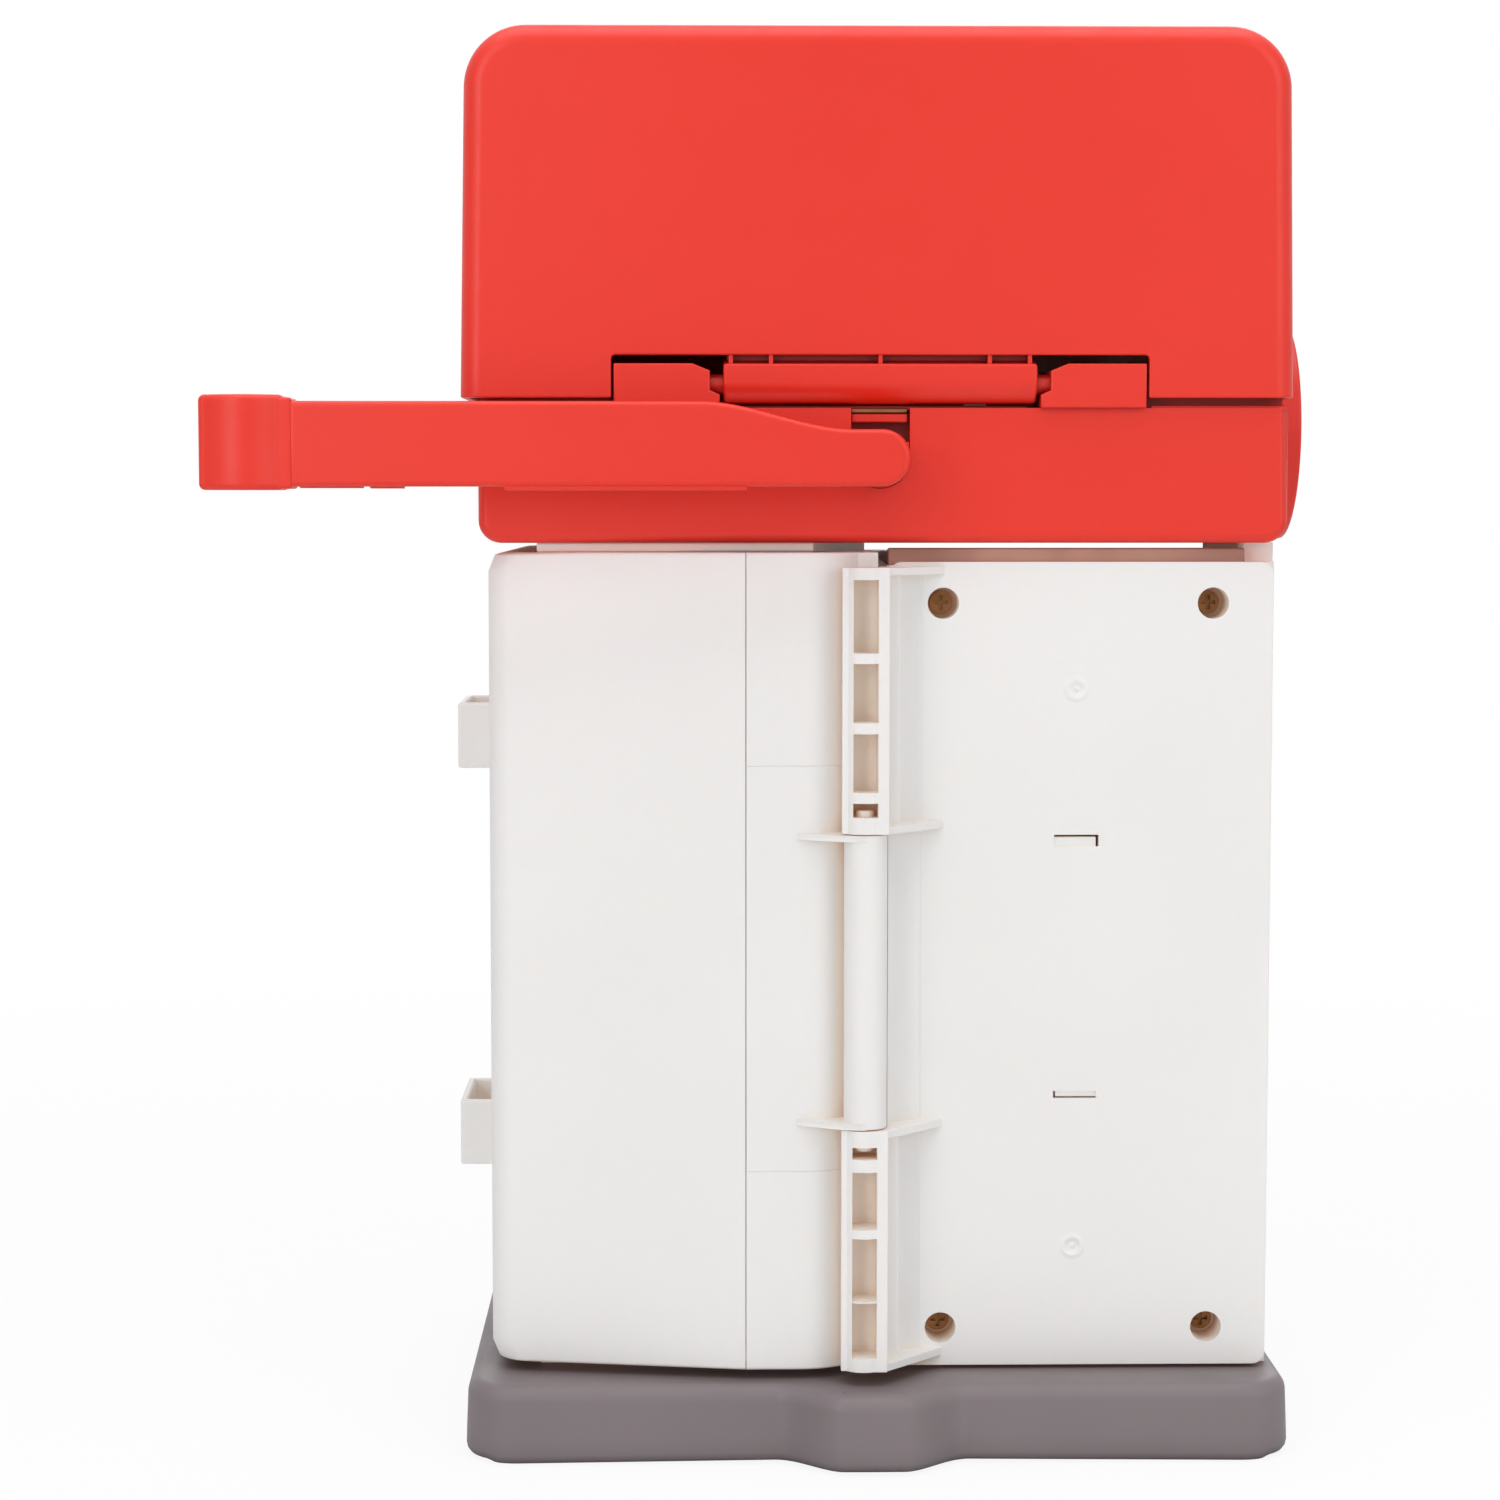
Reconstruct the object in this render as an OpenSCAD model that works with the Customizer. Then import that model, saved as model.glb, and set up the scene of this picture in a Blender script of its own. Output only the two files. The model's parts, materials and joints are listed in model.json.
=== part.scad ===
// Countertop egg slicer: a lever swings a wire frame down through an egg that lies in a slotted cradle,
// a side knob tips the slices through the head into a bin, and the cabinet below opens on a rear hinge.
// X runs along the head, +Y points to the operator's side, Z is up and 0 is the surface it stands on.

/* [Base] */
// Width of the base
base_w = 222; // [212:1:230]
// Depth of the base without its rear bump
base_d = 180; // [168:1:186]
// Height of the base's top above the table
base_h = 21; // [18:0.5:28]
// Wall of the base shell
base_wall = 2.6; // [2:0.1:3.4]
// Radius of the base's corners in plan
base_corner = 14; // [10:1:20]
// How far the rear bump stands out under the hinge
bump_out = 11.6; // [8:0.2:14]
// Half of the rear bump's width
bump_half = 24; // [20:1:30]
// Diameter of the rubber feet
foot_d = 12.6; // [10:0.2:16]
// How far the feet stand below the base shell
foot_out = 0.8; // [0.6:0.1:1.6]
// Thickness of the base's bottom cover
cover_t = 2.2; // [1.6:0.1:3]

/* [Cabinet] */
// Width of the cabinet
cab_w = 210; // [206:1:212]
// Depth of the cabinet from the rear cover to the front wall
cab_d = 147; // [144:1:152]
// Height of the cabinet above the base
cab_h = 219; // [200:1:240]
// Wall of the cabinet's shells
cab_wall = 2.5; // [2:0.1:3]
// Depth of the rear cover's rim
cover_rim = 6; // [5:0.5:8]
// Diameter of the screw access holes in the rear cover
access_d = 8.4; // [7.4:0.2:9.4]
// Gap between the cabinet's top and the head
head_gap = 5.1; // [4.6:0.1:7]

/* [Door] */
// How far the door's crease stands behind the rear plane of the cabinet
crease_out = 10; // [8:0.5:11]
// Distance of the crease from the hinge side of the door
crease_x = 35.4; // [33:0.2:40]
// Radius of the door's upright corners
door_corner = 7; // [5:0.5:10]
// Radius of the door's left edge at its top and bottom
door_round = 4.2; // [2:0.1:4.6]
// Gap between the base and the door
door_gap = 2.5; // [2.2:0.1:4]

/* [Rear hinge] */
// Radius of the knuckles
knuckle_r = 6.1; // [5.6:0.1:6.4]
// Length of the middle knuckle
knuckle_len = 78.4; // [66:0.2:90]
// Radius of the pivot stubs on the middle knuckle
stub_r = 2.5; // [2:0.1:3]
// Length of the pivot stubs
stub_len = 6.4; // [5.4:0.2:7]
// Thickness of the gusset fins
fin_t = 2; // [1.6:0.1:2.6]

/* [Hooks] */
// Height of a hook
hook_h = 18; // [14:1:24]
// Depth of a hook along the door's side
hook_d = 35; // [28:1:44]
// How far a hook stands out
hook_out = 9.8; // [8.4:0.2:14]

/* [Bin] */
// Height of the slice bin
bin_h = 192; // [150:1:196]
// Wall of the slice bin
bin_wall = 2; // [1.6:0.1:2.6]
// Radius of the bin's cup pull
pull_r = 21; // [16:0.5:26]

/* [Head tray] */
// Width of the head tray
tray_w = 215.4; // [212:0.2:218]
// Depth of the head tray
tray_d = 150; // [148:1:152]
// Height of the head tray
tray_h = 35.7; // [34.4:0.1:38]
// Wall of the head tray
tray_wall = 2.5; // [2:0.1:2.8]
// Radius of the tray's lower edges
tray_corner = 6; // [5:0.5:10]

/* [Lid] */
// Width of the lid at its rim
lid_w = 221; // [217:0.2:224]
// Depth of the lid
lid_d = 156; // [155:1:160]
// Height of the lid
lid_h = 97.5; // [90:0.5:110]
// Wall of the lid
lid_wall = 2.5; // [2:0.1:3]
// Radius of the lid's upper corners
lid_corner = 16.5; // [11:0.5:22]
// Radius of the lid's front and rear edges
lid_edge = 5; // [3.5:0.5:6]
// Height of the seam between tray and lid
seam = 2.6; // [2.4:0.1:3.2]
// Radius of the lid's hinge barrel
barrel_r = 5.4; // [5:0.1:5.6]
// Length of the lid's hinge barrel
barrel_len = 83; // [70:1:86]
// Length of a hinge block beside the barrel
block_len = 25.4; // [20:0.2:27]
// Radius of the stubs at the barrel's ends
lid_stub_r = 2.7; // [2.2:0.1:3.2]

/* [Lever] */
// Length of the lever from its shaft to the end of the arm
lever_len = 151.8; // [140:0.2:165]
// Height of the lever arm
lever_h = 21.8; // [19:0.2:24]
// Thickness of the lever arm
lever_t = 13; // [11:0.5:15]
// Gap between the tray's wall and the lever arm
lever_gap = 17; // [17:0.5:20]
// Length of the lever's grip
grip_len = 24; // [20:0.2:30]
// Height of the lever's grip
grip_h = 24.4; // [23:0.2:28]
// Depth of the lever's grip
grip_d = 21; // [18:0.5:24]
// Radius of the lever shaft
lever_shaft_r = 4; // [3:0.1:4.4]

/* [Slicing gear] */
// Module of the gear teeth
gear_module = 1.5; // [1.4:0.05:1.5]
// Teeth of a whole lever gear
lever_teeth = 24; // [24:4:24]
// Teeth of the frame gear
frame_teeth = 16; // [16:4:16]
// Width of the gears
gear_w = 6; // [4:0.5:7]
// Radius of the frame shaft
frame_shaft_r = 3; // [2.4:0.1:3.2]
// Length of the wire frame from its shaft
frame_len = 76; // [72:0.5:77]
// Half of the wire frame's width inside its arms
frame_half = 41; // [40.5:0.1:42]
// Diameter of a cutting wire
wire_d = 0.7; // [0.5:0.05:0.8]
// Distance between cutting wires
wire_pitch = 5.5; // [4.6:0.1:6]

/* [Cradle] */
// Length of the cradle along its shaft
cradle_w = 50; // [46:1:51]
// Radius that the turning cradle sweeps
cradle_r = 38.5; // [36:0.5:39]
// Radius of the cradle's shaft
knob_shaft_r = 3; // [2.4:0.1:3]
// Radius of the side knob
knob_r = 31; // [26:0.5:32]
// Thickness of the side knob
knob_t = 10.5; // [8:0.5:13]

/* [Hidden] */

gap = 0.3;        // between pieces that move past each other or are laid in
fit = 0.06;       // radial clearance of a shaft in its hole
eps = 0.01;       // overlap that joins the parts of one solid
red = [0.86, 0.13, 0.09];
white = [0.93, 0.92, 0.90];
grey = [0.40, 0.38, 0.38];
steel = [0.72, 0.73, 0.75];
black = [0.08, 0.08, 0.08];

// Levels
z_cover = base_h + 1;
funnel_room = 20;     // height above the bin that the funnel needs
z_cab = base_h + max(cab_h, bin_h + funnel_room + 4);
z_tray = z_cab + head_gap;
z_tray_top = z_tray + tray_h;
z_lid = z_tray_top + seam;
z_lid_top = z_lid + lid_h;
z_floor = z_tray + tray_wall;

// Cabinet places
cab_x0 = 0.6 - cab_w / 2;
cab_x1 = 0.6 + cab_w / 2;
y_rear = -72;
y_front = y_rear + cab_d;
y_cover_in = y_rear + cover_rim;
hinge_x = -4.2;
hinge_y = y_rear - 12;
cover_x0 = 3;
knuckle_z0 = 90;
knuckle_z1 = knuckle_z0 + knuckle_len;
lower_end = z_cover + 2.8;
upper_end = z_cab - 1.2;
door_z0 = base_h + door_gap;
door_z1 = z_cab + 2.6;
door_free_x = -0.3;
leaf_z0 = knuckle_z0 - 12.5;
leaf_z1 = knuckle_z1 + 17.8;
sweep_r = y_front - cab_wall - hinge_y;    // radius that the door's front wall sweeps
tower_x0 = cab_x0 + 13;
tower_x1 = -17.2;
tower_y0 = y_cover_in + 2;
tower_y1 = y_front - 45;
part_x = -3;                               // right face of the partition
bulk_y = y_rear + 26;                      // rear face of the bulkhead
post_x = cab_x1 - 6.8;
screw_x = [cover_x0 + 14.3, cab_x1 - 16];
screw_z = [z_cover + 10.3, z_cab - 11];
boss_r = access_d / 2 + 2;
boss_depth = 12;

// Head places
tray_x0 = 1.2 - tray_w / 2;
tray_x1 = 1.2 + tray_w / 2;
tray_y0 = -tray_d / 2;
tray_y1 = tray_d / 2;
lid_x0 = -0.5 - lid_w / 2;
lid_x1 = -0.5 + lid_w / 2;
lid_y0 = -lid_d / 2;
pivot_y = lid_y0 + barrel_r;
pivot_z = z_lid + 3.6;
notch_half = barrel_len / 2 + 3.5 + block_len + 0.6;
notch_top = pivot_z + 7.6;
lever_z = z_tray + 22.2;
centre = gear_module * (lever_teeth + frame_teeth) / 2 + 0.05;
frame_z = lever_z + centre / 2;
frame_x = centre * cos(30);
arm_y1 = tray_y0 - lever_gap;
arm_y0 = arm_y1 - lever_t;
gear_y0 = tray_y0 + tray_wall + 10.5;
gear_y1 = gear_y0 + gear_w;
plate_t = 2.5;
plate_y0 = gear_y0 - gap - plate_t;
plate_y1 = gear_y1 + gap;
shaft_end = plate_y1 + plate_t + 9;
frame_end = frame_half + 9;
knob_z = z_tray + 28.4;
knob_x0 = max(tray_x1 + 0.6, lid_x1 + 0.4);
knob_end = knob_x0 + knob_t - 3.6;          // end of the cradle's shaft inside the knob
cradle_x0 = frame_x + 16;
cradle_x1 = cradle_x0 + cradle_w;
cradle_top = knob_z + 26.5;
wire_rows = floor((frame_half - 9) / wire_pitch);
wire_in = 9;
wire_out = frame_len - 4;
open_x0 = cradle_x0 - 2;
open_x1 = cradle_x1 + 2.4;
open_y = cradle_r + 2;
bin_x0 = part_x + 8;
bin_x1 = post_x - 1.4;
bin_y0 = bulk_y + 2.5 + 3;
bin_z0 = base_h + 3 + gap;
window_z = bin_z0 + bin_h + 1;

function arc(cx, cy, r, a0, a1, n = 8) =
    [for (i = [0:n]) [cx + r * cos(a0 + (a1 - a0) * i / n), cy + r * sin(a0 + (a1 - a0) * i / n)]];

// A rectangle with round corners, as points
function round_rect(x0, x1, y0, y1, r, n = 8) = concat(
    arc(x0 + r, y0 + r, r, 180, 270, n), arc(x1 - r, y0 + r, r, 270, 360, n),
    arc(x1 - r, y1 - r, r, 0, 90, n), arc(x0 + r, y1 - r, r, 90, 180, n));

function raise(points, z) = [for (p = points) [p[0], p[1], z]];

// Joins rings of equal length, counter-clockwise from above and from the lowest up
module loft(rings) {
    n = len(rings[0]);
    m = len(rings);
    polyhedron(
        points = [for (r = rings, p = r) p],
        faces = concat(
            [[for (j = [0:n - 1]) j]],
            [[for (j = [n - 1:-1:0]) (m - 1) * n + j]],
            [for (k = [0:m - 2], j = [0:n - 1]) [k * n + j, (k + 1) * n + j, (k + 1) * n + (j + 1) % n]],
            [for (k = [0:m - 2], j = [0:n - 1]) [k * n + j, (k + 1) * n + (j + 1) % n, k * n + (j + 1) % n]]
        )
    );
}

module box(x0, x1, y0, y1, z0, z1) {
    translate([x0, y0, z0]) cube([x1 - x0, y1 - y0, z1 - z0]);
}

// A cylinder along Y from y0 to y1, and one along X from x0 to x1
module rod_y(x, z, r, y0, y1) {
    translate([x, y0, z]) rotate([-90, 0, 0]) cylinder(r = r, h = y1 - y0, $fn = 48);
}

module rod_x(y, z, r, x0, x1) {
    translate([x0, y, z]) rotate([0, 90, 0]) cylinder(r = r, h = x1 - x0, $fn = 48);
}

module rod_z(x, y, r, z0, z1) {
    translate([x, y, z0]) cylinder(r = r, h = z1 - z0, $fn = 48);
}

// A disc along Y with a rounded rim of radius e
module puck(x, z, r, y0, y1, e) {
    translate([x, y0, z]) rotate([-90, 0, 0]) rotate_extrude($fn = 32)
        polygon(concat([[0, 0]], arc(r - e, e, e, -90, 0, 5), arc(r - e, y1 - y0 - e, e, 0, 90, 5),
            [[0, y1 - y0]]));
}

// Screw along Y with its head at y and its point towards +Y
module screw_y(x, z, y, head_r, shank_r, len) {
    difference() {
        union() {
            rod_y(x, z, head_r, y - 2.2, y);
            rod_y(x, z, shank_r, y - eps, y + len);
        }
        translate([x - 0.5, y - 3, z - head_r * 0.65]) cube([1, 1.8, head_r * 1.3]);
        translate([x - head_r * 0.65, y - 3, z - 0.5]) cube([head_r * 1.3, 1.8, 1]);
    }
}

// Screw along Z with its head's outer face at z, going up when dir is 1 and down when it is -1
module screw_z_axis(x, y, z, head_r, shank_r, len, dir) {
    translate([x, y, z]) rotate([dir > 0 ? 0 : 180, 0, 0]) difference() {
        union() {
            cylinder(r = head_r, h = 2, $fn = 32);
            translate([0, 0, 2 - eps]) cylinder(r = shank_r, h = len, $fn = 24);
        }
        translate([-0.5, -head_r * 0.65, -1]) cube([1, head_r * 1.3, 2]);
        translate([-head_r * 0.65, -0.5, -1]) cube([head_r * 1.3, 1, 2]);
    }
}

// ---- Base ----
function bell(u) = (1 - cos(360 * u)) / 2;

// Rear bump in plan, drawn in by inset
module bump(inset, z1) {
    half = bump_half - inset;
    translate([0, 0, foot_out]) linear_extrude(z1 - foot_out) polygon(concat(
        [[-2 + half * 7 / 8, 6 - base_d / 2], [-2 - half * 7 / 8, 6 - base_d / 2]],
        [for (k = [1:15]) [-2 - half + 2 * half * k / 16, inset - base_d / 2 - bump_out * bell(k / 16)]]));
}

// Inner outline of the base shell, or the cover's outline when clear is its gap
function base_inside(clear) = let (t = base_wall + 2 + clear)
    round_rect(t - base_w / 2, base_w / 2 - t, t - base_d / 2, base_d / 2 - t, base_corner - t);
foot_x = base_w / 2 - 15.5;
foot_y = base_d / 2 - 15;
base_screw_at = [[tower_x0 + 10, -50], [tower_x0 + 14, 18], [cab_x1 - 9, -52], [cab_x1 - 9, 56]];

module base_shell() {
    r = base_corner;
    h = base_h - foot_out;
    color(grey) difference() {
        union() {
            hull() for (sx = [-1, 1], sy = [-1, 1])
                translate([sx * (base_w / 2 - r), sy * (base_d / 2 - r), foot_out]) rotate_extrude($fn = 64)
                    polygon([[0, 0], [r - 2.2, 0], [r - 0.8, 0.8], [r, 4.2], [r - 0.5, h - 4],
                        [r - 1.6, h - 1.6], [r - 3, h - 0.5], [r - 4.4, h], [0, h]]);
            bump(0, base_h - 3.4);
            bump(1.5, base_h - 1.2);
            bump(3.2, base_h - 0.4);
        }
        translate([0, 0, -eps]) linear_extrude(base_h - base_wall + eps) polygon(base_inside(0));
        for (p = base_screw_at) rod_z(p[0], p[1], 1.9, base_h - base_wall - 1, base_h + 1);
    }
}

module base_cover() {
    color(grey) difference() {
        translate([0, 0, foot_out]) linear_extrude(cover_t) polygon(base_inside(gap));
        for (p = base_screw_at) rod_z(p[0], p[1], 5, -1, foot_out + cover_t + 1);
        for (sx = [-1, 1], sy = [-1, 1]) rod_z(sx * foot_x, sy * foot_y, foot_d / 2 - 1.8, -1, cover_t + 2);
    }
}

module rubber_feet() {
    color(black) for (sx = [-1, 1], sy = [-1, 1]) {
        rod_z(sx * foot_x, sy * foot_y, foot_d / 2, 0, foot_out);
        rod_z(sx * foot_x, sy * foot_y, foot_d / 2 - 2, foot_out - eps, foot_out + cover_t + 1);
    }
}

module base_screws() {
    color(steel) for (p = base_screw_at)
        screw_z_axis(p[0], p[1], base_h - base_wall - 2, 3.4, 1.6, base_wall + 2.6, 1);
}

// ---- Housing ----
module boss_y(x, z, y0, y1) {
    difference() {
        rod_y(x, z, boss_r, y0, y1);
        rod_y(x, z, 1.4, y0 - 1, y1 - 2);
    }
}

module housing() {
    color(white) difference() {
        union() {
            // floor, kept inside the door's sweep on the left
            intersection() {
                box(tower_x0, cab_x1 + 1.2, tower_y0, y_front, base_h, base_h + 3);
                union() {
                    rod_z(hinge_x, hinge_y, sweep_r - 7, base_h, base_h + 3);
                    box(part_x - cab_wall, cab_x1 + 1.2, tower_y0, y_front - 9, base_h, base_h + 3);
                    box(part_x + 2, cab_x1 + 1.2, tower_y0, y_front, base_h, base_h + 3);
                }
            }
            // right wall and front wall with the bin's window
            box(cab_x1 + 1.2 - cab_wall, cab_x1 + 1.2, y_cover_in, y_front, base_h, z_cab);
            difference() {
                box(part_x + 2, cab_x1 + 1.2, y_front - cab_wall, y_front, base_h, z_cab + 1.2);
                box(bin_x0 - gap, bin_x1 + gap, y_front - cab_wall - 1, y_front + 1, base_h + 3, window_z);
            }
            // partition and bulkhead
            box(part_x - cab_wall, part_x, tower_y0, y_front - cab_wall - 6.5, base_h, z_cab - 2);
            box(part_x - eps, cab_x1, bulk_y, bulk_y + 2.5, base_h, z_cab - 4);
            box(part_x - eps, part_x + 2 + cab_wall, y_front - cab_wall - 9, y_front - cab_wall - 6.5,
                base_h, z_cab - 4);
            box(part_x + 2, part_x + 2 + cab_wall, y_front - cab_wall - 9, y_front - cab_wall + eps,
                base_h, z_cab - 4);
            // left tower: rear wall with a return, cross wall and head plate
            box(tower_x0, tower_x1, tower_y0, tower_y0 + cab_wall, base_h, z_tray);
            box(tower_x0, tower_x0 + cab_wall, tower_y0, tower_y0 + 20, base_h, z_tray);
            box(tower_x0 + 6, part_x, tower_y1 - cab_wall, tower_y1, base_h, z_tray);
            difference() {
                box(tower_x0, part_x, tower_y0, tower_y1, z_tray - 2.5, z_tray);
                box(tower_x1, part_x + 1, tower_y0 - 1, tower_y0 + 9, z_tray - 3, z_tray + 1);
            }
            // right post
            box(post_x, cab_x1 + 1.2, tower_y0, -9, base_h, z_tray);
            // bosses for the rear cover's screws
            for (z = screw_z) {
                rod_y(screw_x[0], z, boss_r, y_cover_in + boss_depth - 4, bulk_y + 1);
                rod_y(screw_x[1], z, boss_r, y_cover_in + boss_depth - 4, bulk_y + 1);
            }
            // boss for the door magnet
            box(-15.5, part_x - eps, y_front - 20, y_front - 7, 122, 148);
        }
        for (x = screw_x, z = screw_z) rod_y(x, z, 1.5, y_cover_in, bulk_y - 1);
        for (p = base_screw_at) rod_z(p[0], p[1], 1.6, base_h - 1, base_h + 3 + eps);
        // pocket in the post, open to the rear
        box(post_x + 2, cab_x1 - 1.3, tower_y0 - 1, -12, base_h + 14, z_tray - 16);
        box(-13.2, -4.8, y_front - 15, y_front - 6, 127.8, 142.2);
        for (p = head_screw_at) rod_z(p[0], p[1], 1.7, z_tray - 12, z_tray + 1);
        shelf_slots();
    }
}

shelf_z = base_h + 105;
module shelf_slots() {
    box(tower_x0 + 10, tower_x1 - 10, tower_y0 - 1, tower_y0 + cab_wall + 1, shelf_z - gap, shelf_z + 2 + gap);
}

module storage_shelf() {
    color(white) {
        box(tower_x0 + 6, part_x - cab_wall - gap, tower_y0 + cab_wall + gap, tower_y1 - cab_wall - gap,
            shelf_z, shelf_z + 2);
        box(tower_x0 + 10 + gap, tower_x1 - 10 - gap, tower_y0 + 0.5, tower_y0 + cab_wall + 1,
            shelf_z, shelf_z + 2);
        box(tower_x0 + 6, tower_x0 + 8, tower_y0 + cab_wall + gap, tower_y1 - cab_wall - gap,
            shelf_z, shelf_z + 9);
    }
}

// ---- Rear cover with the upper and lower knuckles ----
module fin_right(z0) {
    translate([0, 0, z0]) linear_extrude(fin_t) polygon([
        [hinge_x, hinge_y - knuckle_r + 0.4], [hinge_x + knuckle_r, hinge_y - knuckle_r + 1.4],
        [18, y_rear + 0.4], [18, y_rear + 1], [cover_x0 + 1, y_rear + 1], [hinge_x + 4.6, hinge_y + 6]]);
}

module knuckle(z0, z1) {
    rod_z(hinge_x, hinge_y, knuckle_r, z0, z1);
    box(hinge_x, hinge_x + knuckle_r, hinge_y - knuckle_r + 0.6, hinge_y + 2, z0, z1);
    box(hinge_x - knuckle_r, hinge_x, hinge_y - knuckle_r + 2.1, hinge_y, z0, z1);
    box(door_free_x + 0.8, cover_x0 + 2, hinge_y, y_rear + 1, z0, z1);
}

// Open pockets in a knuckle, given as heights of floor and ceiling
module pockets(list) {
    for (p = list)
        box(hinge_x - 3.3, hinge_x + 3.3, hinge_y - knuckle_r - 1, hinge_y + 3.6, p[0], p[1]);
}

module rear_cover() {
    top_from = knuckle_z1 + gap;
    low_to = knuckle_z0 - gap;
    up = upper_end - top_from;
    low = low_to - lower_end;
    color(white) difference() {
        union() {
            difference() {
                translate([0, y_rear, 0]) rotate([90, 0, 0]) translate([0, 0, -cover_rim])
                    linear_extrude(cover_rim)
                    polygon(round_rect(cover_x0, cab_x1, z_cover, z_cab, 3.2, 6));
                translate([0, y_rear + cab_wall, 0]) rotate([90, 0, 0]) translate([0, 0, -cover_rim])
                    linear_extrude(cover_rim) polygon(round_rect(cover_x0 + cab_wall, cab_x1 - cab_wall,
                        z_cover + cab_wall, z_cab - cab_wall, 2, 4));
            }
            for (x = screw_x, z = screw_z)
                rod_y(x, z, boss_r, y_rear + 1, y_cover_in + boss_depth - 4 - gap);
            knuckle(top_from, upper_end);
            knuckle(lower_end, low_to);
            fin_right(upper_end - fin_t);
            fin_right(top_from);
            fin_right(low_to - fin_t);
            fin_right(lower_end);
        }
        for (x = screw_x, z = screw_z) {
            rod_y(x, z, access_d / 2, y_rear - 1, y_cover_in + boss_depth - 4 - gap - 2);
            rod_y(x, z, 1.8, y_rear - 1, y_cover_in + boss_depth);
        }
        // snap slots and moulding dimples
        box(47.4, 59.4, y_rear - 1, y_rear + cab_wall + 1, 163.6, 166.8);
        box(47.6, 59.2, y_rear - 1, y_rear + cab_wall + 1, 95.2, 97.2);
        for (z = [206, 54.7]) rod_y(53.1, z, 2, y_rear - 1, y_rear + 0.6);
        rod_z(hinge_x, hinge_y, stub_r + fit, low_to - stub_len - 1, top_from + stub_len + 1);
        pockets([
            [top_from + 4.4, top_from + 8.2],
            [top_from + up * 0.157, top_from + up * 0.378],
            [top_from + up * 0.419, top_from + up * 0.641],
            [top_from + up * 0.680, upper_end - 3.2],
            [low_to - 7.6, low_to - 4.4],
            [low_to - up * 0.378, low_to - up * 0.157],
            [low_to - up * 0.655, low_to - up * 0.412],
            [lower_end + 3.6, low_to - low * 0.712]
        ]);
    }
}

module cover_screws() {
    color(steel) for (x = screw_x, z = screw_z)
        screw_y(x, z, y_cover_in + boss_depth - 4 - gap - 2, 3, 1.4, 9);
}

// ---- Door ----
// Outline of the door in plan at a depth t inside its outer face, from the free edge round to the hinge
function door_line(t) = let (r = max(door_corner - t, 0.8)) concat(
    [[door_free_x - 1.2, y_front - t]],
    arc(cab_x0 + t + r, y_front - t - r, r, 90, 180),
    arc(cab_x0 + t + r, y_rear - 0.5 + t + r, r, 180, 262),
    [[hinge_x + 4 - crease_x, y_rear - crease_out + t]],
    leaf_line(t));
function leaf_line(t) = concat(
    [[hinge_x - 16.8, y_rear - crease_out + t]],
    arc(hinge_x - 16.8, y_rear - crease_out + 20, 20 - t, -84, -40, 6),
    [[door_free_x, y_rear - crease_out + 20 - (20 - t) * cos(52)]]);

module door_ring(t, z0, z1) {
    outer = door_line(0);
    inner = door_line(t);
    translate([0, 0, z0]) linear_extrude(z1 - z0)
        polygon(concat(outer, [for (i = [len(inner) - 1:-1:0]) inner[i]]));
}

module leaf_window(clear) {
    box(hinge_x + 4 - crease_x + 1 - clear, 2, y_rear - crease_out - 1, y_rear + 6,
        leaf_z0 - clear, leaf_z1 + clear);
}

leaf_screw_z = [leaf_z0 + 12, leaf_z1 - 12];
leaf_screw_x = hinge_x + 4 - crease_x - 7;
function slant(x) = y_rear - crease_out * (x - cab_x0) / (hinge_x + 4 - crease_x - cab_x0);

// Cuts the corner outside a round edge that runs along Y at the door's left; z is the round's centre
module round_off(z, dir) {
    r = door_round;
    difference() {
        box(cab_x0 - 1, cab_x0 + r, y_rear - 2, y_front + 1, dir > 0 ? z : z - r - 1, dir > 0 ? z + r + 1 : z);
        rod_y(cab_x0 + r, z, r, y_rear - 3, y_front + 2);
    }
}

module door_shell() {
    color(white) difference() {
        union() {
            door_ring(cab_wall, door_z0, door_z1);
            difference() {
                union() {
                    door_ring(8, door_z0, door_z0 + 2);
                    door_ring(8, door_z1 - 2, door_z1);
                }
                box(-10, 10, y_rear - 9, y_rear + 8, door_z0 - 1, door_z1 + 1);
            }
            for (z = leaf_screw_z)
                rod_y(leaf_screw_x, z, 3.4, slant(leaf_screw_x) + 1.6, y_rear - crease_out + 6.7);
        }
        leaf_window(gap);
        round_off(door_z0 + door_round, -1);
        round_off(door_z1 - door_round, 1);
        for (z = leaf_screw_z)
            rod_y(leaf_screw_x, z, 1.3, slant(leaf_screw_x) + 1.5, y_rear - crease_out + 8);
        // groove along the crease
        box(hinge_x + 4 - crease_x, hinge_x + 4 - crease_x + 0.6, y_rear - crease_out - 1,
            y_rear - crease_out + 0.6, door_z0 - 1, door_z1 + 1);
    }
}

module fin_left(z0) {
    translate([0, 0, z0]) linear_extrude(fin_t) polygon([
        [hinge_x, hinge_y - knuckle_r + 0.4], [hinge_x, hinge_y + 6], [hinge_x - 10, y_rear - 4],
        [-22.4, y_rear - crease_out + 1], [-22.4, y_rear - crease_out + 0.4],
        [hinge_x - knuckle_r, hinge_y - knuckle_r + 1.6]]);
}

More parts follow.
